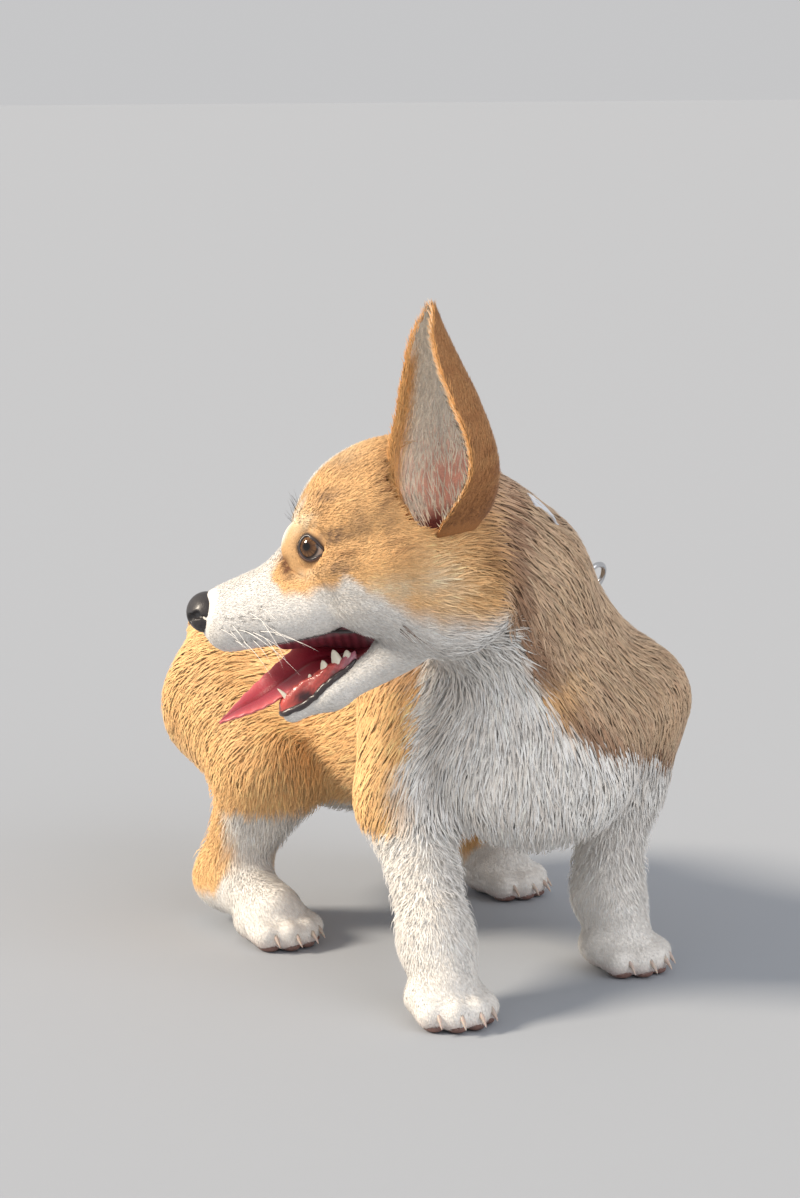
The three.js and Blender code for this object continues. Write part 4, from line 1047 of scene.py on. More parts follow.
# How far from a point, along ways out of it, the skin is first left behind
def reachOut(middles, ways, above, field=wholeSkin, far=66.0):
    steps = np.linspace(10, far, 80)
    points = middles[:, None] + ways[:, None] * steps[None, :, None]
    values = field(points.reshape(-1, 3)).reshape(len(middles), -1) - np.reshape(above, (-1, 1))
    first = np.argmax(values > 0, axis=1)
    first = np.where(first > 0, first, len(steps) - 1)
    rows = np.arange(len(middles))
    a, b = values[rows, first - 1], values[rows, first]
    share = np.clip(a / np.where(a - b == 0, 1, a - b), 0, 1)
    return mix(steps[first - 1], steps[first], share)


neckField = blend(jointBlend, *neckFields)
strapMiddles = np.repeat(strapMiddle[None], strap["steps"], 0)
onNeck = reachOut(strapMiddles, strapOut, -3.6, neckField)
strapReach = np.minimum(onNeck, reachOut(strapMiddles, strapOut, -0.7))
tabShare = np.linspace(0, 1, 30)[:, None]
tabOut = unit(mix(unit(vec(0.3, -0.55, 0.8)), unit(vec(0.62, -0.1, 0.78)), tabShare))
tabMiddle = mix(strapMiddle, vec(*dog["neckBase"]), 0.9 * tabShare)
tabRise = 0.5 + 4.0 * ramp(0.75, 1, tabShare[:, 0]) + 2.6 * ramp(0.3, 0.2, tabShare[:, 0])
tabPlaces = tabMiddle + tabOut * reachOut(tabMiddle, tabOut, tabRise)[:, None]
bareTab = tabPlaces[1:7:2]  # where no tufts stand, so that the tab shows


# The whole skin's slope, from the four corners of a tetrahedron, and its value
def skinSlope(p, e=0.8):
    ways = np.array([(1, 1, 1), (1, -1, -1), (-1, 1, -1), (-1, -1, 1)], float)
    total = sum(way * wholeSkin(p + way * e)[:, None] for way in ways)
    slope = total / (4 * e)
    return slope, wholeSkin(p)


print("coat")
# Tufts on a square millimetre of each part, in the layers of short and of long ones
coat = {"share": 1.0, "jitter": 0.14, "mostTriangles": 190000,
        "longBody": 0.52, "longRuff": 0.70, "longLimb": 0.12, "longHead": 0.4,
        "shortBody": 0.46, "shortLimb": 0.82, "shortPaw": 1.3, "shortHead": 1.35, "shortFace": 2.1}
tris = halved(skinFaces)
middles = skinVerts[tris].mean(1)
middleHead = toHead(middles)
faceHere = headShare(middleHead)
legHere = ramp(98, 78, middles[:, 2])
ruffHere = ramp(-30, -48, middles[:, 1]) * ramp(92, 116, middles[:, 2])
nearMuzzle = ramp(30, 4, np.minimum(muzzle(middleHead), jawLine(middleHead)))
shortHair = mix(coat["shortBody"], coat["shortLimb"], legHere)
shortHair = mix(shortHair, coat["shortPaw"], ramp(46, 26, middles[:, 2]))
shortHair = mix(shortHair, mix(coat["shortHead"], coat["shortFace"], nearMuzzle), faceHere)
longHair = mix(mix(coat["longBody"], coat["longRuff"], ruffHere), coat["longLimb"], legHere)
longHair = longHair * ramp(40, 60, middles[:, 2])
longHair = mix(longHair, coat["longHead"] * ramp(2, -34, middleHead[:, 0]), faceHere)
eyeGap = np.linalg.norm(folded(middleHead) - eyePlace, axis=1)
noseBall = mirrored(ball((96, 2, -6), (11, 10, 10.5)))
bare = (mouthDepth(middles) > 0.6) | (middles[:, 2] < 1.6) | (noseBall(middleHead) < 2.2)
bare |= (eyeGap < eye["radius"] + 2.2) | (earRoom(middleHead) < 0.5)
bare |= np.min([np.linalg.norm(middles - place, axis=1) for place in bareTab], axis=0) < 7.5
bare |= chinReach(middleHead) < 1
coatPieces = []


# One layer of tufts over the skin: roots by density, then each marched over the skin to its tip
def coatLayer(kind, density, rings, lengthOf, widthOf, riseShare):
    which, roots = scatter(skinVerts, tris, np.where(bare, 0, density) * coat["share"])
    normals = unit(skinSlope(roots)[0])
    form = formOf(roots)
    length = lengthOf(roots, normals) * rng.uniform(0.7, 1.25, len(roots))
    way = wayAt(roots, normals)
    stray = coat["jitter"] * rng.normal(size=len(roots)) + 0.2 * waves(roots, 21, 8)
    stray = stray + 0.13 * waves(roots, 8, 9)
    way = unit(way + np.cross(normals, way) * stray[:, None])
    rise = coatDepth(roots) * riseShare * rng.uniform(0.35, 1.0, len(roots)) ** 0.8
    path = np.zeros((len(roots), rings + 1, 3))
    out = np.zeros((len(roots), rings, 3))
    path[:, 0] = roots - normals * 0.35
    place, normal = roots, normals
    for k in range(rings):
        out[:, k] = normal
        flat = unit(way - normal * (way * normal).sum(1, keepdims=True))
        place = place + flat * (length / rings)[:, None]
        if rings > 1:
            slope, value = skinSlope(place)
            normal = unit(slope)
        else:
            value = wholeSkin(place)
        height = rise * (1 if k == rings - 1 else 0.85)
        place = place - normal * np.clip(value - height, -5, 5)[:, None]
        path[:, k + 1] = place
    width = widthOf(length) * rng.uniform(0.75, 1.25, len(roots))
    half = width[:, None] * (np.array([0.85, 0.75]) if rings > 1 else np.array([1.0]))
    rootTint, tipTint = coatColours(roots)
    shade = (1 + 0.11 * rng.normal(size=(len(roots), 1))).clip(0.7, 1.25)
    warm = rng.uniform(0.92, 1.08, (len(roots), 1)) ** vec(0.3, 1, 1.6)
    rootTint, tipTint = np.minimum(rootTint * shade, 0.95), np.minimum(tipTint * shade * warm, 0.96)
    tints = mix(rootTint[:, None], tipTint[:, None], np.linspace(0, 1, rings + 1)[None, :, None])
    tuftTriangles = 6 * rings - 2
    for k, name in enumerate(forms):
        at = np.flatnonzero(form == k)
        parts = max(1, math.ceil(len(at) * tuftTriangles / coat["mostTriangles"]))
        for n, part in enumerate(np.array_split(at, parts) if len(at) else []):
            piece = tuftMesh(f"{kind}_{name}_{n + 1}", path[part], out[part], half[part], tints[part],
                             unwrap(name, roots[part]))
            coatPieces.append(piece)
    print(kind, len(roots), "tufts", np.bincount(form, minlength=4))


coatLayer("short_coat", shortHair, 1, lambda p, normal: 0.9 + 0.52 * tuftLength(p, normal),
          lambda length: 0.2 + 0.036 * length, 0.6)
coatLayer("long_coat", longHair, 2, tuftLength, lambda length: 0.19 + 0.026 * length, 1.0)


# Straight tufts with one soft bend: they leave a root along a way and reach a height above the skin
def bentTufts(name, roots, normals, way, length, rise, width, rootTint, tipTint, uv, rings=1):
    way = unit(way - normals * (way * normals).sum(1, keepdims=True))
    t = np.linspace(0, 1, rings + 1)
    climb = 1 - (1 - t) ** 2
    path = roots[:, None] + way[:, None] * (length[:, None] * t)[..., None]
    path = path + normals[:, None] * (rise[:, None] * climb - 0.4)[..., None]
    out = np.repeat(normals[:, None], rings, 1)
    half = width[:, None] * np.linspace(0.9, 0.6, rings)
    tints = mix(rootTint[:, None], tipTint[:, None], t[None, :, None])
    return tuftMesh(name, path, out, half, tints, uv)


earCoat = {"outside": 0.95, "rim": 2.7, "inside": 0.8, "pink": 0.15}


# Fur of one ear: upwards on its back, thick and forwards round its rim, thin and long over the pink inside
def earFur(number, name):
    rings = earParts[name]
    rows, around = rings.shape[:2]
    steps = ear["steps"]
    local = rings.reshape(-1, 3)
    upward = unit(np.gradient(rings, axis=0)).reshape(-1, 3)
    earTris = halved(tubeFaces(rows, around))
    a, b, c = cornersOf(local, earTris)
    triNormal = unit(np.cross(b - a, c - a))
    column = earTris.min(1) % around
    column = column if name == "left" else (around - 1 - column)
    row = earTris.min(1) // around / rows
    inside = column >= steps
    v = np.where(inside, 2 * steps - 1 - column, column) / (steps - 1) * 2 - 1
    rim = np.clip(ramp(0.86, 0.97, np.abs(v)) + ramp(0.94, 1, row), 0, 1)
    pinkPart = ramp(0.55, 0.3, row) * np.exp(-(((v - 0.1) / 0.4) ** 2))
    dense = np.where(inside, earCoat["inside"] * (1 - (1 - earCoat["pink"]) * pinkPart), earCoat["outside"])
    dense = mix(dense, earCoat["rim"], rim) * ramp(0.02, 0.06, row) * coat["share"]
    which, roots = scatter(local, earTris, dense)
    isIn, rowHere, vHere, rimHere = inside[which], row[which], v[which], rim[which]
    openWay = vec(0.707, 0.707 * leftRight[name], 0)
    normals = unit(triNormal[which] + rimHere[:, None] * 1.2 * openWay)
    way = upward[earTris[which, 0]]
    outward = unit(np.cross(normals, way)) * rng.normal(0, 0.22, (len(roots), 1))
    forward = np.where(isIn, 0.45 * ramp(0.2, 1, np.abs(vHere)), 0) + 0.35 * rimHere
    way = way + outward + unit(vec(0.5, 0.75 * leftRight[name], 0.2)) * forward[:, None]
    length = np.where(isIn, 5 + 7 * ramp(0.7, 0.2, rowHere), 4.6) * rng.uniform(0.7, 1.2, len(roots))
    length = mix(length, 3.6 + 2.4 * rng.random(len(roots)), rimHere)
    rise = np.where(isIn, 1.8, 1.1) * rng.uniform(0.5, 1.2, len(roots)) + rimHere * 0.6
    width = (0.26 + 0.03 * length) * rng.uniform(0.7, 1.2, len(roots))
    # The back's brown, darker towards the base, is partly the ear's own colour and partly painted shade
    brown = np.clip(ramp(0.45, 0.05, rowHere) * 0.55 + 0.25 * waves(roots, 13, 4), 0, 1)[:, None]
    brown = np.clip(0.6 + brown, 0, 0.92)
    frontBand = (isIn * ramp(0.45, 0.7, vHere) * ramp(0.85, 0.7, rowHere))[:, None]
    backRoot = mix(tint["tan"] * 0.9, tint["brown"], brown)
    backTip = mix(tint["tanTip"] * 0.85, tint["brown"] * 1.9, brown)
    rootTint = mix(np.where(isIn[:, None], earColours["root"], backRoot), tint["tan"], frontBand)
    tipTint = mix(np.where(isIn[:, None], earColours["tip"], backTip), tint["tanTip"], frontBand)
    # Painted light: the rim's tufts turn orange-tan, as if lit through from behind
    paintedRimLight = rimHere[:, None] * 0.7
    rootTint = mix(rootTint, tint["tan"], paintedRimLight)
    tipTint = mix(tipTint, tint["tanTip"] * (1.05, 0.88, 0.68), paintedRimLight)
    shade = rng.uniform(0.8, 1.12, (len(roots), 1))
    uv = np.stack([(0.5 + 0.5 * vHere + isIn + 2 * number) / 4, rowHere], 1)
    print(len(roots), "tufts on ear", name)
    return bentTufts(f"coat_ear_{name}", fromHead(roots), normals @ headTurn.T, way @ headTurn.T, length,
                     rise, width, rootTint * shade, np.minimum(tipTint * shade, 0.95), uv)


coatPieces += [earFur(number, name) for number, name in enumerate(earParts)]


# Whiskers, brow hairs and hairs of the cheeks: how many on a side, their lengths, sag and width
hairKinds = {
    "whiskers": {"count": 17, "length": (12, 34), "sag": (0.1, 0.35), "width": 0.17, "tint": tint["white"]},
    "brow": {"count": 12, "length": (5, 12), "sag": (0, 0.1), "width": 0.10, "tint": tint["brown"]},
    "cheek": {"count": 5, "length": (10, 24), "sag": (0, 0.2), "width": 0.16, "tint": tint["brown"] * 0.3},
}


def onSide(x, z, side):
    return np.stack([x, side * sideOf(x, z, side), z], 1)


# Long thin tufts of eight places: along a way, and down by a share of the length towards the tip
def hairs(kind, name, roots, ways, rings=7):
    size = hairKinds[kind]
    length = rng.uniform(*size["length"], size["count"])
    sag = rng.uniform(*size["sag"], size["count"])
    t = np.linspace(0, 1, rings + 1)
    path = fromHead(roots)[:, None] + (unit(ways) @ headTurn.T)[:, None] * (length[:, None] * t)[..., None]
    path[..., 2] -= (sag * length)[:, None] * t**2
    out = np.repeat(unit(np.cross(ways @ headTurn.T, (0.3, 0.2, 1)))[:, None], rings, 1)
    half = np.repeat((size["width"] * np.linspace(1, 0.25, rings))[None], len(roots), 0)
    tints = np.repeat(np.repeat(size["tint"][None, None], len(roots), 0), rings + 1, 1)
    coatPieces.append(tuftMesh(f"{kind}_{name}", path, out, half, tints, unwrap("head", path[:, 0])))


# Random places or ways, drawn for x, y and z in turn between their limits
def drawn(kind, *limits):
    return np.stack([rng.uniform(*limit, hairKinds[kind]["count"]) for limit in limits], 1)


spots = np.array(whiskerRoots, float)
for name, side in leftRight.items():
    count = hairKinds["whiskers"]["count"]
    chosen = rng.permutation(len(spots))[:count]
    roots = onSide(spots[chosen, 0], spots[chosen, 1], side)
    back = -0.55 + rng.normal(0, 0.2, count)
    ways = np.column_stack([back, drawn("whiskers", (0.5, 0.9), (-0.7, 0.05)) * (side, 1)])
    hairs("whiskers", name, roots, ways)
    brow = drawn("brow", (36, 46), (9, 20), (26, 33)) * (1, side, 1)
    brow = brow - slopeOf(lambda q: wholeSkin(fromHead(q)), brow) * wholeSkin(fromHead(brow))[:, None]
    hairs("brow", name, brow, drawn("brow", (-0.1, 0.5), (0, 0.5), (0.6, 1)) * (1, side, 1))
    cheek = onSide(*drawn("cheek", (3, 8), (-31, -27)).T, side)
    back, down = drawn("cheek", (-0.8, -0.4), (-0.9, -0.6)).T
    hairs("cheek", name, cheek, np.stack([back, np.full(len(back), side * 0.5), down], 1))


# Short hairs on one lid, which spread away from the eye
def lidHairs(name, side):
    rings = lidParts[name]["rings"]
    points = rings.reshape(-1, 3)
    lidTris = halved(lidParts[name]["quads"][: 8 * lid["steps"]])
    inner = lidTris.min(1) < 2 * lid["steps"]
    which, roots = scatter(points, lidTris, np.where(inner, 0, 2.2) * coat["share"])
    a, b, c = cornersOf(points, lidTris[which])
    normals = unit(np.cross(b - a, c - a))
    fromMiddle = roots - rings[0].mean(0)
    away = unit(fromMiddle * (1, 0, 1)) + vec(-1.0, 0.2 * side, -0.1)
    length = rng.uniform(1.6, 3.2, len(roots))
    places = fromHead(roots)
    rootTint, tipTint = coatColours(places)
    dark = 0.5 * ramp(9.5, 7.5, np.linalg.norm(fromMiddle, axis=1))[:, None]
    rootTint = mix(rootTint, tint["brown"], dark)
    rise = 0.25 + 0.35 * rng.random(len(roots))
    width = np.full(len(roots), 0.27)
    return bentTufts(f"coat_lid_{name}", places, normals @ headTurn.T, away @ headTurn.T, length, rise,
                     width, rootTint, tipTint, unwrap("head", places))


coatPieces += [lidHairs(name, side) for name, side in leftRight.items()]

print("face")


# Eyes: a ball with a bulge over the iris, its colours by the angle from the way it looks
eyeLook = {"pupil": 0.22, "iris": 0.60, "bulge": 0.035, "steps": 72, "rows": 56,
           "black": (0.004, 0.003, 0.003), "irisDark": (0.060, 0.026, 0.010),
           "irisLight": (0.26, 0.125, 0.048), "edge": (0.02, 0.012, 0.01), "white": (0.45, 0.36, 0.30)}


# Rings round the gaze, at a radius that swells over the iris
def eyeBall(side):
    gaze = unit(vec(*eye["gaze"]) * (1, side, 1))
    x = unit(np.cross((0, 0, 1), gaze))
    y = np.cross(gaze, x)
    angle = np.linspace(0.02, math.pi - 0.02, eyeLook["rows"])[:, None]
    turn = roundSteps(eyeLook["steps"])[None]
    radius = eye["radius"] * (1 + eyeLook["bulge"] * np.exp(-((angle / 0.55) ** 4)))
    aside = (np.sin(angle) * np.cos(turn))[..., None] * x
    above = (np.sin(angle) * np.sin(turn))[..., None] * y
    rings = radius[..., None] * (np.cos(angle)[..., None] * gaze + aside + above)
    verts, quads, tris = tube(rings[:, ::-1] + eyePlace * (1, side, 1))
    flare = 0.5 + 0.5 * np.sin(turn * 37 + 3 * np.sin(turn * 5)) * np.sin(turn * 13)
    pupil, iris = eyeLook["pupil"], eyeLook["iris"]
    light = (flare * ramp(0.24, 0.5, angle))[..., None]
    tints = mix(vec(*eyeLook["irisDark"]), vec(*eyeLook["irisLight"]), light)
    tints = mix(vec(*eyeLook["black"]), tints, ramp(pupil - 0.03, pupil + 0.04, angle)[..., None])
    tints = mix(tints, vec(*eyeLook["edge"]), ramp(iris - 0.09, iris, angle)[..., None])
    tints = mix(tints, vec(*eyeLook["white"]), ramp(iris + 0.02, iris + 0.16, angle)[..., None])
    tints = np.concatenate([tints[:, ::-1].reshape(-1, 3), tints[:1].mean(1), tints[-1:].mean(1)])
    return fromHead(verts), quads, tris, tints


# Circles round the points of a line: cosine of the angle times one way across it, sine times the other
def circles(across, up, sides):
    phi = roundSteps(sides)[None, :, None]
    return np.cos(phi) * across[:, None] + np.sin(phi) * up[:, None]


# The rim of the lids: a tube along the almond's edge
def lidRim(name, side, sides=10, radius=0.55, out=0.35):
    middle = eyePlace * (1, side, 1)
    ways = unit(lidParts[name]["rings"][0] - middle)
    centre = middle + ways * (eye["radius"] + out)
    along = unit(np.roll(centre, -1, 0) - np.roll(centre, 1, 0))
    rings = centre[:, None] + radius * circles(ways, np.cross(ways, along), sides)
    return fromHead(rings.reshape(-1, 3)), loopFaces(len(centre), sides)[:, ::-1]


eyePieces = []
for name, side in leftRight.items():
    verts, quads, tris, tints = eyeBall(side)
    piece = newMesh(f"eyeball_{name}", inPlace(verts), quads, tris)
    paint(piece, "coat", tints)
    verts, quads = lidRim(name, side)
    rim = newMesh(f"lid_rim_{name}", inPlace(verts), quads)
    eyePieces.append((piece, rim, f"eye_{name}"))

# Nose leather: rounded, with curled nostrils and a groove down the middle
nostrilBend = (99, 10.2, -5.4)
nostril = limb((103, 5.3, -6.6), nostrilBend, 2.5, 1.5)
nostril = blend(1.5, nostril, limb(nostrilBend, (93, 11.6, -9), 1.3, 0.7))
groove = limb((107, 0, -5), (101, 0, -17), 0.7, 0.55)


# Three balls blended into one, with the nostrils and the groove carved out
def noseField(p):
    h = folded(toHead(p))
    value = blendOf(3, ball((95, 0, -5.5), (10, 9.5, 10))(h), ball((94, 6.5, -7), (8, 6, 8))(h))
    value = blendOf(2, value, ball((97, 7.4, -8), (6.2, 4.6, 6))(h) + 0.4)
    value = carveOf(1.2, value, nostril(h))
    return carveOf(0.7, value, groove(h))


noseNet = {"middle": (94, 0, -6), "half": 19, "step": 0.55}
noseAxes = [np.arange(c - noseNet["half"], c + noseNet["half"], noseNet["step"])
            for c in fromHead(noseNet["middle"])]
noseVerts, noseFaces = netOf(noseField, noseAxes)
nose = newMesh("nose_leather", inPlace(noseVerts), noseFaces)


# Lips: where rays from a place on the head's middle, at heights of the mouth's edge, leave the skin
def lipLine(height, middle, turns, start):
    turns = np.radians(turns)

    def pointsAt(reach):
        x = middle + reach * np.cos(turns)
        return np.stack([x, reach * np.sin(turns), height(x)], 1)

    line = pointsAt(farInside(np.full(len(turns), start), np.full(len(turns), 70.0), pointsAt, 24))
    for _ in range(3):
        line = smoothed(line)
    return line[line[:, 0] > lipEnd]


# Each point moved to the mean of itself, twice, and its neighbours
def smoothed(line):
    return np.concatenate([line[:1], (line[:-2] + line[1:-1] * 2 + line[2:]) / 4, line[-1:]])


# A round or flattened tube of changing radius along an open line, with bumps
def cordRings(line, radius, sides, flat, bumps, size=5, seed=20):
    along = unit(np.gradient(line, axis=0))
    aside = unit(np.cross(along, (0, 0, 1)))
    ring = circles(aside, np.cross(aside, along) * flat, sides)
    rings = line[:, None] + np.reshape(radius, (-1, 1, 1)) * ring
    wave = waves(rings.reshape(-1, 3), size, seed).reshape(rings.shape[:2])
    return rings + ring * (bumps * wave)[..., None]


# 1 along a line, falling to 0 at both its ends
def endTaper(line):
    t = np.linspace(0, 1, len(line))
    return ramp(0, 0.08, t) * ramp(1, 0.92, t)


# One mesh of several closed tubes, each given by its rings in the dog's frame
def tubesMesh(name, tubes):
    verts, quads, tris = [], [], []
    at = 0
    for rings in tubes:
        v, q, t = tube(rings)
        verts.append(v)
        quads.append(q + at)
        tris.append(t + at)
        at += len(v)
    return newMesh(name, inPlace(np.concatenate(verts)), np.concatenate(quads), np.concatenate(tris))


lipEnd = 22.5
lowerLip = lipLine(lowerHeight, 44, np.linspace(-140, 140, 150), 2.0)
upperLip = lipLine(upperHeight, 56, np.linspace(-154, 154, 170), 3.0)
raised = vec(0, 0, 0.3)
lowerCord = cordRings(lowerLip + raised, 0.7 + 0.9 * endTaper(lowerLip), 12, 1.0, 0.3)
upperCord = cordRings(upperLip + raised, 0.9 - 0.3 * endTaper(upperLip), 10, 0.9, 0.15)
lipPiece = tubesMesh("lip_rims", [fromHead(lowerCord), fromHead(upperCord)])

# Gums: a bumpy ridge inside the lower lip, from the lip up to the ridge's top
ridge = {"x": (22, 29, 37, 45, 53, 61.5, 67, 71), "top": (-34.5, -37, -39.5, -41.5, -45, -47.4, -52, -55)}
gumColours = {"front": (0.55, 0.085, 0.070), "rear": (0.42, 0.15, 0.20), "blotch": (0.045, 0.010, 0.013)}
gumLine = lowerLip * (0.97, 0.80, 1) + vec(0.6, 0, 0)
for _ in range(6):
    gumLine = smoothed(gumLine)
gumTop = np.interp(gumLine[:, 0], ridge["x"], ridge["top"])
gumLow = gumLine[:, 2] - 2.5
gumEnds = endTaper(gumLine)[:, None]
phi = roundSteps(28)[None]
along = unit(np.gradient(gumLine, axis=0) * (1, 1, 0))
aside = np.stack([along[:, 1], -along[:, 0], 0 * along[:, 0]], 1)
wide = 2.6 * (0.45 + 0.55 * gumEnds)
tall = ((gumTop - gumLow) / 2)[:, None]
offset = aside[:, None] * (wide * np.cos(phi))[..., None] + vec(0, 0, 1) * (tall * np.sin(phi))[..., None]
gumRings = np.column_stack([gumLine[:, :2], (gumTop + gumLow) / 2])[:, None] + offset
bumps = waves(gumRings.reshape(-1, 3), 3.6, 20).reshape(gumRings.shape[:2])
gumRings = gumRings + unit(offset) * (0.5 * bumps * gumEnds)[..., None]
verts, quads, tris = tube(gumRings)
gums = newMesh("gums", inPlace(fromHead(verts)), quads, tris)
blotch = (1.3 * spot(verts, 57, -53.5, 5, 3.6) + 0.7 * spot(verts, 40, -46, 6, 2.5))[:, None]
gumTint = mix(vec(*gumColours["front"]), vec(*gumColours["rear"]), ramp(44, 30, verts[:, 0])[:, None])
gumTint = gumTint * (1 + 0.25 * waves(verts, 3.6, 20))[:, None]
paint(gums, "coat", mix(gumTint, vec(*gumColours["blotch"]), np.clip(blotch, 0, 1)))

# Roof and back of the mouth, seen past the tongue, with dark folds across, in dark reds that are painted
# shade inside the mouth
lining = blend(4, limb((12, 0, -34), (46, -3, -27), 10, 4), limb((28, 0, -22), (60, 0, -22), 12, 9))
liningNet = {"x": (-2, 76), "y": (-17, 17), "z": (-48, -8), "step": 1.1}
liningAxes = [np.arange(*liningNet[axis], liningNet["step"]) for axis in "xyz"]
verts, quads = netOf(lining, liningAxes)
palate = newMesh("palate", inPlace(fromHead(verts)), quads)
folds = 0.5 + 0.5 * np.sin(verts[:, 0] * 1.6)
# Painted shade: dark reds for the mouth's shaded inside, with darker bands across
paint(palate, "coat", mix(vec(0.11, 0.014, 0.022), vec(0.22, 0.035, 0.05), folds[:, None]))

# Teeth of the lower jaw: each a cone with a flattened crown, out of the gums; inset is the share of the gum's
# distance from the middle at which a tooth stands
teeth = {"x": (68, 67.3, 65, 53, 45, 38.6, 33.5), "inset": (0.25, 0.6, 1, 1, 1, 1, 1),
         "z": (-57, -57, -55.5, -48, -45, -43.5, -42.5), "height": (4, 4, 8, 4.4, 6.6, 9, 6.5),
         "radius": (1, 1, 1.6, 1.5, 1.9, 2.3, 2.3), "lean": (1, 1, 4.4, 0, 0.5, 1, 0)}
nearGum = gumLine[gumLine[:, 1] > 0]
nearGum = nearGum[np.argsort(nearGum[:, 0])]


# Rings that shrink as the root of what is left of the height and lean forwards, in the dog's frame
def toothRings(tooth, side):
    phi = roundSteps(16)
    t = np.linspace(-0.25, 1, 14)[:, None]
    size = tooth["radius"] * np.where(t < 0, 1, np.sqrt(np.clip(1 - t, 0.004, 1)))
    cusp = 1 + 0.25 * np.cos(2 * phi)[None] * (tooth["radius"] > 1.7) + 0 * t
    x = tooth["x"] + tooth["lean"] * np.maximum(t, 0) ** 1.5 + 1.2 * size * cusp * np.cos(phi)
    y = np.interp(tooth["x"], nearGum[:, 0], nearGum[:, 1]) * tooth["inset"] + 0.8 * size * np.sin(phi)
    z = tooth["z"] + tooth["height"] * t + 0 * phi
    rings = fromHead(np.stack([x, side * y, z], -1))
    return rings if side > 0 else rings[:, ::-1]


rowOfTeeth = [{key: column[n] for key, column in teeth.items()} for n in range(len(teeth["x"]))]
teethPiece = tubesMesh("lower_teeth", [toothRings(tooth, side) for tooth in rowOfTeeth for side in (1, -1)])

# Tongue: a strip that cups, tips to one side and thins towards its end, with a groove down the middle
tongueLevels = {"x": (8, 24, 42, 52, 64, 78, 90, 100.5), "y": (0, -1, -3.5, -5, -6, -5, -3, -1),
                "z": (-38, -40, -40.5, -40.5, -45.5, -51.5, -55, -58.5),
                "width": (9, 11, 13, 13.5, 13, 11.5, 8, 1.5), "depth": (4, 4.4, 3.6, 3.2, 2.8, 2.4, 2, 0.8),
                "cup": (0, 2, 4, 4.6, 4.2, 3.2, 1.4, 0.2), "tilt": (0, 12, 32, 44, 39, 33, 24, 12)}
# Colours of the tongue: the dark middle and light edges are partly its own colour and partly painted shade
# and a painted lit rim; the darker groove and root are painted shade
tongueColours = {"middle": (0.34, 0.018, 0.038), "edge": (0.72, 0.15, 0.16), "groove": (0.20, 0.010, 0.020),
                 "root": (0.09, 0.006, 0.012)}
level = {key: value[:, None] for key, value in through(tongueLevels, 90).items()}
phi = roundSteps(64)[None]
onTop = np.sin(phi) > 0
across = level["width"] * 0.98 * np.cos(phi)
share = across / level["width"]
rise = level["depth"] * 0.94 * np.sin(phi) + level["cup"] * share**2
rise = rise - 0.9 * np.exp(-((share / 0.10) ** 2)) * onTop
edge = 0.35 * np.sin(level["x"] * 1.1) * share**4
tilt = np.radians(level["tilt"])
x = level["x"] + 0 * phi
y = level["y"] + across * np.cos(tilt) + rise * np.sin(tilt)
z = level["z"] - across * np.sin(tilt) + (rise + edge) * np.cos(tilt)
verts, quads, tris = tube(np.stack([x, y, z], -1)[:, ::-1])
tongue = newMesh("tongue_flesh", inPlace(fromHead(verts)), quads, tris)


# Values of the tongue's rings for its mesh, with those of the two points that close its ends
def tonguePart(values, *ends):
    return np.concatenate([(values + 0 * x)[:, ::-1].ravel(), ends])[:, None]


# Lighter towards the edges, partly its own colour and partly a painted lit rim; darker in the groove as
# painted shade
tongueEdgeAndRimLight = tonguePart(np.abs(share) ** 3, 0, 0.5)
grooveShade = tonguePart(np.exp(-((share / 0.16) ** 2)) * onTop, 0, 0)
tongueTint = mix(vec(*tongueColours["middle"]), vec(*tongueColours["edge"]), tongueEdgeAndRimLight)
tongueTint = mix(tongueTint, vec(*tongueColours["groove"]), grooveShade * 0.7)
# Painted shade: the tongue darkens towards its root, inside the mouth
inwardShade = ramp(62, 30, verts[:, 0])[:, None] * 0.75
paint(tongue, "coat", mix(tongueTint, vec(*tongueColours["root"]), inwardShade))


# Claws: curved cones at the toes' ends; pads: flattened balls under toes and sole
claw = {"radius": 1.9, "start": 7.4, "length": 5.4, "height": 8.6, "drop": 4.8}
pad = {"toe": (6.8, 4.8, 2.8), "sole": (10.5, 11.5, 3.2), "soleBack": -7}


# Rings that shrink as the root of what is left of the length, and sink towards the tip
def clawRings(toe):
    t = np.linspace(-0.9, 0.985, 16)[:, None]
    phi = roundSteps(14)[None]
    size = claw["radius"] * np.where(t < 0, 1, np.sqrt(np.clip(1.0 - t, 0.01, 1)))
    x = toe["reach"] + claw["start"] + claw["length"] * t + 0 * phi
    y = toe["across"] + toe["side"] * t + 0.72 * size * np.cos(phi)
    z = claw["height"] - claw["drop"] * np.maximum(t, 0) ** 1.7 + size * np.sin(phi)
    return np.stack([x, y, z], -1)


# A ball with three radii that stands on the floor
def padRings(x, y, radii, rows=16, sides=20):
    a = np.linspace(0.1, math.pi - 0.1, rows)[:, None]
    phi = roundSteps(sides)[None]
    spread = np.stack([np.sin(a) * np.cos(phi), np.sin(a) * np.sin(phi), np.cos(a) + 0 * phi], -1)
    return (np.sign(spread) * np.abs(spread) ** 0.9 * vec(*radii) + vec(x, y, radii[2]))[:, ::-1]


toePads = [padRings(toe["reach"] + 1.0, toe["across"] * 0.97, pad["toe"]) for toe in toes]
solePad = padRings(pad["soleBack"], 0, pad["sole"])
claws = tubesMesh("claws", [fromPaw(leg, clawRings(toe)) for leg in legs for toe in toes])
padTubes = [fromPaw(leg, rings) for leg in legs for rings in toePads]
pads = tubesMesh("pads", padTubes + [fromPaw(leg, solePad) for leg in legs])


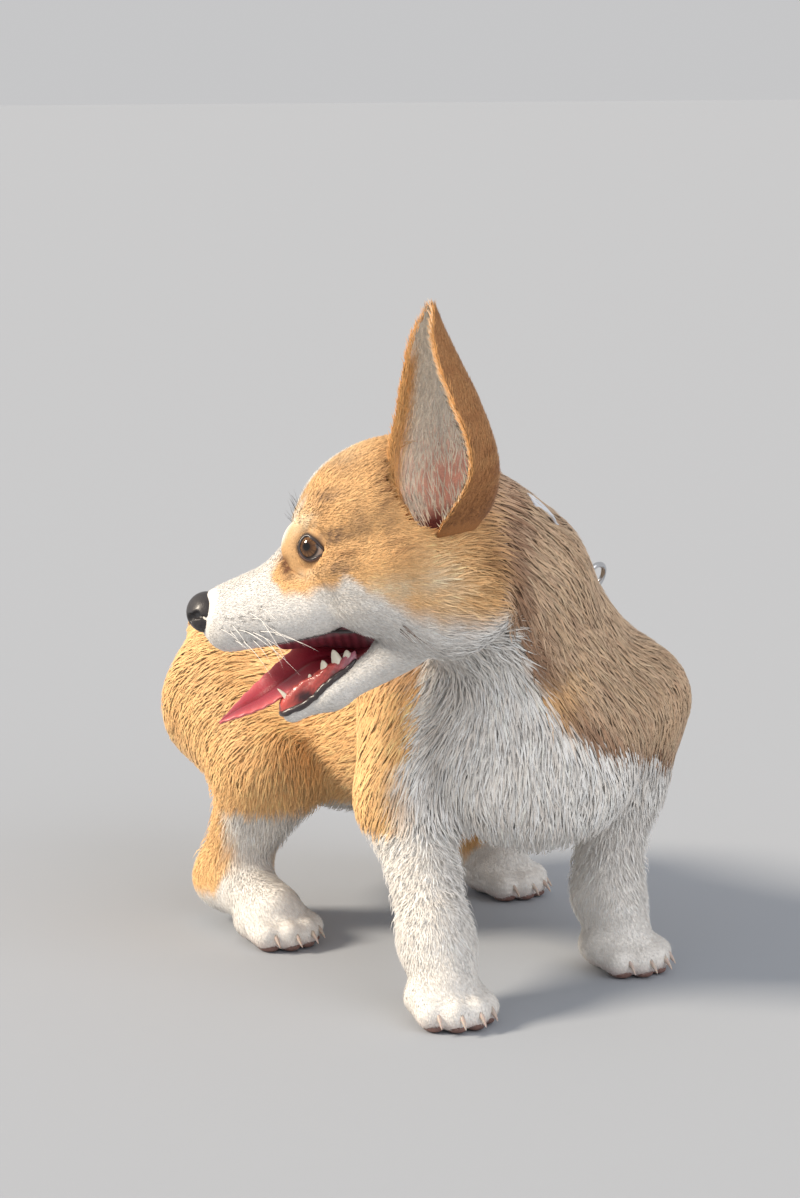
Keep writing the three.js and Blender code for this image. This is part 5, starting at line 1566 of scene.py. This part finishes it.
# A socket in a shader tree: sums, differences and products of wires and numbers add Math nodes
class Wire:
    def __init__(self, tree, socket=None):
        self.tree = tree
        self.socket = socket

    # Adds a node: its settings first, then a number, a colour or a wire for each socket
    def node(self, kind, settings=None, sockets=None, out=0):
        made = self.tree.nodes.new("ShaderNode" + kind)
        for name, value in (settings or {}).items():
            if name == "stops":
                for n, (place, colour) in enumerate(value):
                    stop = made.color_ramp.elements[n] if n < 2 else made.color_ramp.elements.new(place)
                    stop.position, stop.color = place, (*colour, 1)
            else:
                setattr(made, name, value)
        for name, value in (sockets or {}).items():
            self.feed(made.inputs[name], value)
        return Wire(self.tree, made.outputs[out])

    def feed(self, target, value):
        if isinstance(value, Wire):
            self.tree.links.new(value.socket, target)
        elif isinstance(value, (int, float)):
            target.default_value = value
        else:
            value = tuple(value)
            target.default_value = value if len(target.default_value) == len(value) else (*value, 1)

    def maths(self, operation, a, b):
        return self.node("Math", {"operation": operation}, {0: a, 1: b})

    def __add__(self, other):
        return self.maths("ADD", self, other)

    def __radd__(self, other):
        return self.maths("ADD", other, self)

    def __sub__(self, other):
        return self.maths("SUBTRACT", self, other)

    def __rsub__(self, other):
        return self.maths("SUBTRACT", other, self)

    def __mul__(self, other):
        return self.maths("MULTIPLY", self, other)

    def __rmul__(self, other):
        return self.maths("MULTIPLY", other, self)

    # From one colour to another by this value
    def blend(self, a, b):
        return self.node("Mix", {"data_type": "RGBA"}, {0: self, 6: a, 7: b}, 2)

    # A colour made lighter or darker by this value
    def times(self, colour):
        settings = {"data_type": "RGBA", "blend_type": "MULTIPLY"}
        return self.node("Mix", settings, {0: 1, 6: colour, 7: self}, 2)


# The place in the object's own coordinates
def objectPlace(start):
    return start.node("TexCoord", out=3)


def noise(start, size, detail=3, stretch=(1, 1, 1)):
    place = start.node("Mapping", None, {"Vector": objectPlace(start), "Scale": stretch})
    return start.node("TexNoise", None, {"Vector": place, "Scale": 1 / size, "Detail": detail})


# A material: fixed values on the shader's own sockets, and a function that links the varying ones
def newMaterial(name, fixed, varying=None):
    material = bpy.data.materials.new(name)
    material.use_nodes = True
    shader = material.node_tree.nodes["Principled BSDF"]
    start = Wire(material.node_tree)
    for key, value in {**fixed, **(varying(start) if varying else {})}.items():
        start.feed(shader.inputs[key], value)
    return material


def attribute(start, name):
    return start.node("Attribute", {"attribute_name": name}, out=0)


def bump(start, height, strength, distance):
    return start.node("Bump", None, {"Height": height, "Strength": strength, "Distance": distance})


# A finish with one grain: it blends two colours, or lightens the painted ones from a lowest share by a range,
# and likewise sets the roughness; the relief's strength and depth raise the grain, or a pattern of their own
def grained(size, colours=None, light=None, rough=None, relief=None, pattern=None, **grainSettings):
    def varying(start):
        grain = noise(start, size, **grainSettings)
        found = {}
        if colours:
            found["Base Color"] = grain.blend(*colours)
        if light:
            found["Base Color"] = (light[0] + light[1] * grain).times(attribute(start, "coat"))
        if rough:
            found["Roughness"] = rough[0] + rough[1] * grain
        if relief:
            found["Normal"] = bump(start, pattern(start) if pattern else grain, *relief)
        return found

    return varying


def skinLook(start):
    wetness = start.node("SeparateColor", None, {0: attribute(start, "wet")}, 0)
    dry = grained(0.0007, light=(0.75, 0.5), relief=(0.5, 0.0007))
    return {**dry(start), "Roughness": 0.72 - 0.46 * wetness}


def pebbles(start):
    settings = {"feature": "DISTANCE_TO_EDGE"}
    cells = start.node("TexVoronoi", settings, {"Vector": objectPlace(start), "Scale": 1150})
    return start.node("ValToRGB", {"stops": [(0, (0, 0, 0)), (0.16, (1, 1, 1))]}, {0: cells})


def padCells(start):
    return start.node("TexVoronoi", None, {"Vector": objectPlace(start), "Scale": 900})


def threads(start):
    place = start.node("Mapping", None, {"Vector": objectPlace(start), "Rotation": (0.4, 0.9, 0.3)})
    return start.node("TexWave", {"wave_type": "BANDS"}, {"Vector": place, "Scale": 420, "Distortion": 1.0})


# Each finish: its fixed values, and what varies over the surface
looks = {
    "coat tufts": (
        {"Roughness": 0.62, "Specular IOR Level": 0.35, "Sheen Weight": 0.12, "Sheen Roughness": 0.5},
        grained(0.0011, light=(0.82, 0.36), relief=(0.35, 0.0006), detail=2),
    ),
    "skin": ({"Roughness": 0.7}, skinLook),
    "eye": (
        {"Roughness": 0.5, "Specular IOR Level": 0.0, "Coat Weight": 1.0, "Coat Roughness": 0.02},
        lambda start: {"Base Color": attribute(start, "coat")},
    ),
    "lip": (
        {"Specular IOR Level": 0.6, "Coat Weight": 0.4, "Coat Roughness": 0.2},
        grained(0.0012, [(0.012, 0.008, 0.009), (0.050, 0.032, 0.034)], rough=(0.28, 0.2),
                relief=(0.4, 0.0004)),
    ),
    "nose": (
        {"Coat Weight": 0.35, "Coat Roughness": 0.22},
        grained(0.002, [(0.014, 0.012, 0.013), (0.036, 0.029, 0.030)], rough=(0.34, 0.2),
                relief=(0.22, 0.0002), pattern=pebbles),
    ),
    "gums": (
        {"Subsurface Weight": 0.12, "Subsurface Scale": 0.002, "Coat Weight": 0.5, "Coat Roughness": 0.12},
        grained(0.0009, light=(0.82, 0.36), rough=(0.22, 0.25), relief=(0.35, 0.0004)),
    ),
    "tongue": (
        {"Subsurface Weight": 0.1, "Subsurface Scale": 0.003, "Coat Weight": 0.3, "Coat Roughness": 0.25},
        grained(0.0009, light=(0.82, 0.36), rough=(0.22, 0.25), relief=(0.35, 0.0004)),
    ),
    "enamel": (
        {"Coat Weight": 0.5, "Coat Roughness": 0.1},
        grained(0.003, [(0.83, 0.79, 0.68), (0.72, 0.64, 0.48)], rough=(0.2, 0.1)),
    ),
    "horn": (
        {"Subsurface Weight": 0.2, "Subsurface Scale": 0.002},
        grained(0.0022, [(0.42, 0.33, 0.28), (0.62, 0.53, 0.46)], rough=(0.32, 0.2), stretch=(1, 1, 0.4)),
    ),
    "pads": (
        {"Specular IOR Level": 0.3},
        grained(0.004, [(0.10, 0.062, 0.054), (0.30, 0.17, 0.145)], rough=(0.6, 0.2),
                relief=(0.5, 0.0004), pattern=padCells),
    ),
    "woven strap": (
        {"Sheen Weight": 0.2},
        grained(0.004, [(0.80, 0.83, 0.88), (0.66, 0.69, 0.75)], rough=(0.62, 0.15),
                relief=(0.4, 0.0003), pattern=threads),
    ),
    "steel": (
        {"Base Color": (0.62, 0.63, 0.65), "Metallic": 1.0},
        grained(0.006, rough=(0.14, 0.16), relief=(0.1, 0.0002)),
    ),
}
finish = {name: newMaterial(name, *look) for name, look in looks.items()}

fleshNodes = ["torso", "neck", "head", "lower_jaw", "tail", "ear_left", "ear_right"]
fleshNodes += [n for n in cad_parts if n.startswith(("foreleg", "hindleg", "forepaw", "hindpaw"))]
finished(skin, "coat", finish["skin"], *fleshNodes)
for piece in coatPieces:
    finished(piece, "coat", finish["coat tufts"])
for piece, rim, node in eyePieces:
    finished(piece, "eye", finish["eye"], node)
    finished(rim, "eye", finish["lip"])
finished(nose, "nose_leather", finish["nose"], "nose")
finished(lipPiece, "mouth", finish["lip"])
finished(gums, "mouth", finish["gums"])
finished(palate, "mouth", finish["gums"])
finished(tongue, "tongue", finish["tongue"], "tongue")
finished(teethPiece, "tooth", finish["enamel"])
finished(claws, "claw", finish["horn"])
finished(pads, "coat", finish["pads"])


# Collar: a flat strap round the neck with rounded edges, and a tab of it down the nape to the ring, each from
# the strap's corners at places along it, across its width and out from the neck
def strapRings(middles, outs, across):
    return np.stack([middles + across * a + outs * b for a, b in strap["corners"]], 1)


strapPlaces = strapMiddle + strapOut * strapReach[:, None]
hoop = strapRings(strapPlaces, strapOut, np.repeat(strapAxis[None], strap["steps"], 0))
hoopSize = strap["steps"] * len(strap["corners"])
tabAcross = unit(np.cross(tabOut, np.gradient(tabPlaces, axis=0)))
tabVerts, tabQuads, tabTris = tube(strapRings(tabPlaces, tabOut, tabAcross))
strapVerts = np.concatenate([hoop.reshape(-1, 3), tabVerts])
strapQuads = np.concatenate([loopFaces(*hoop.shape[:2]), tabQuads + hoopSize])
strapPiece = newMesh("collar_strap", inPlace(strapVerts), strapQuads, tabTris + hoopSize)
finished(strapPiece, "collar_strap", finish["woven strap"], "collar")

# The ring, in metres, in the plane of the solid ring that it replaces
ring = {"radius": 0.0075, "wire": 0.0014, "steps": 72, "sides": 16}
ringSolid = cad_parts["collar_ring"].data
points = np.zeros(len(ringSolid.vertices) * 3)
ringSolid.vertices.foreach_get("co", points)
points = points.reshape(-1, 3)
middle = points.mean(0)
across, up, _ = np.linalg.svd(points - middle, full_matrices=False)[2]
turn = roundSteps(ring["steps"])[:, None, None]
phi = roundSteps(ring["sides"])[None, :, None]
reach = ring["radius"] + ring["wire"] * np.cos(phi)
rings = middle + np.cos(turn) * reach * across + np.sin(turn) * reach * up
rings = rings + ring["wire"] * np.sin(phi) * np.cross(across, up)
steelRing = newMesh("steel_ring", rings.reshape(-1, 3), loopFaces(*rings.shape[:2])[:, ::-1])
finished(steelRing, "collar_ring", finish["steel"], "collar_ring")

# Floor, light and camera
print("stage")
stage = {"floor": (0.384, 0.409, 0.450), "world": (0.86, 0.86, 0.87), "worldStrength": 0.66,
         "half": 30, "lens": 96.16, "film": 36, "azimuth": -30, "down": 9.53, "height": 450, "aside": 20,
         "away": 1610}
floorCorners = np.array([(-1, -1, 0), (1, -1, 0), (1, 1, 0), (-1, 1, 0)], float) * stage["half"]
floor = newMesh("floor", floorCorners, [(0, 1, 2, 3)])
floor.data.materials.append(newMaterial("floor", {"Base Color": stage["floor"], "Roughness": 0.9}))

turn = math.radians(stage["azimuth"])
ahead = vec(-math.sin(turn), math.cos(turn), 0)
right = vec(math.cos(turn), math.sin(turn), 0)


# Light from far off, soft by the angle it fills
def sun(name, aside, near, up, strength, angle, colour):
    data = bpy.data.lights.new(name, "SUN")
    data.energy, data.angle, data.color = strength, math.radians(angle), colour
    piece = bpy.data.objects.new(name, data)
    bpy.context.scene.collection.objects.link(piece)
    away = unit(right * aside - ahead * near + vec(0, 0, up))
    side = unit(np.cross((0, 0, 1), away))
    placed = np.eye(4)
    placed[:3] = np.column_stack([side, np.cross(away, side), away, away * 3])
    piece.matrix_world = Matrix(placed.tolist())


sun("key", -1.0, 0.15, 0.72, 4.2, 16, (1, 0.88, 0.72))
sun("fill", 0.9, 1.0, 0.6, 1.1, 60, (0.98, 0.98, 1))
world = bpy.data.worlds.new("studio")
world.use_nodes = True
background = world.node_tree.nodes["Background"].inputs
background["Color"].default_value = (*stage["world"], 1)
background["Strength"].default_value = stage["worldStrength"]
bpy.context.scene.world = world
bpy.context.scene.view_settings.view_transform = "Standard"

lens = bpy.data.cameras.new("camera")
lens.lens, lens.sensor_fit, lens.sensor_height = stage["lens"], "VERTICAL", stage["film"]
camera = bpy.data.objects.new("camera", lens)
bpy.context.scene.collection.objects.link(camera)
camera.location = inPlace(vec(0, 0, stage["height"]) - right * stage["aside"] - ahead * stage["away"])
camera.rotation_euler = (math.radians(90 - stage["down"]), 0, turn)
bpy.context.scene.camera = camera
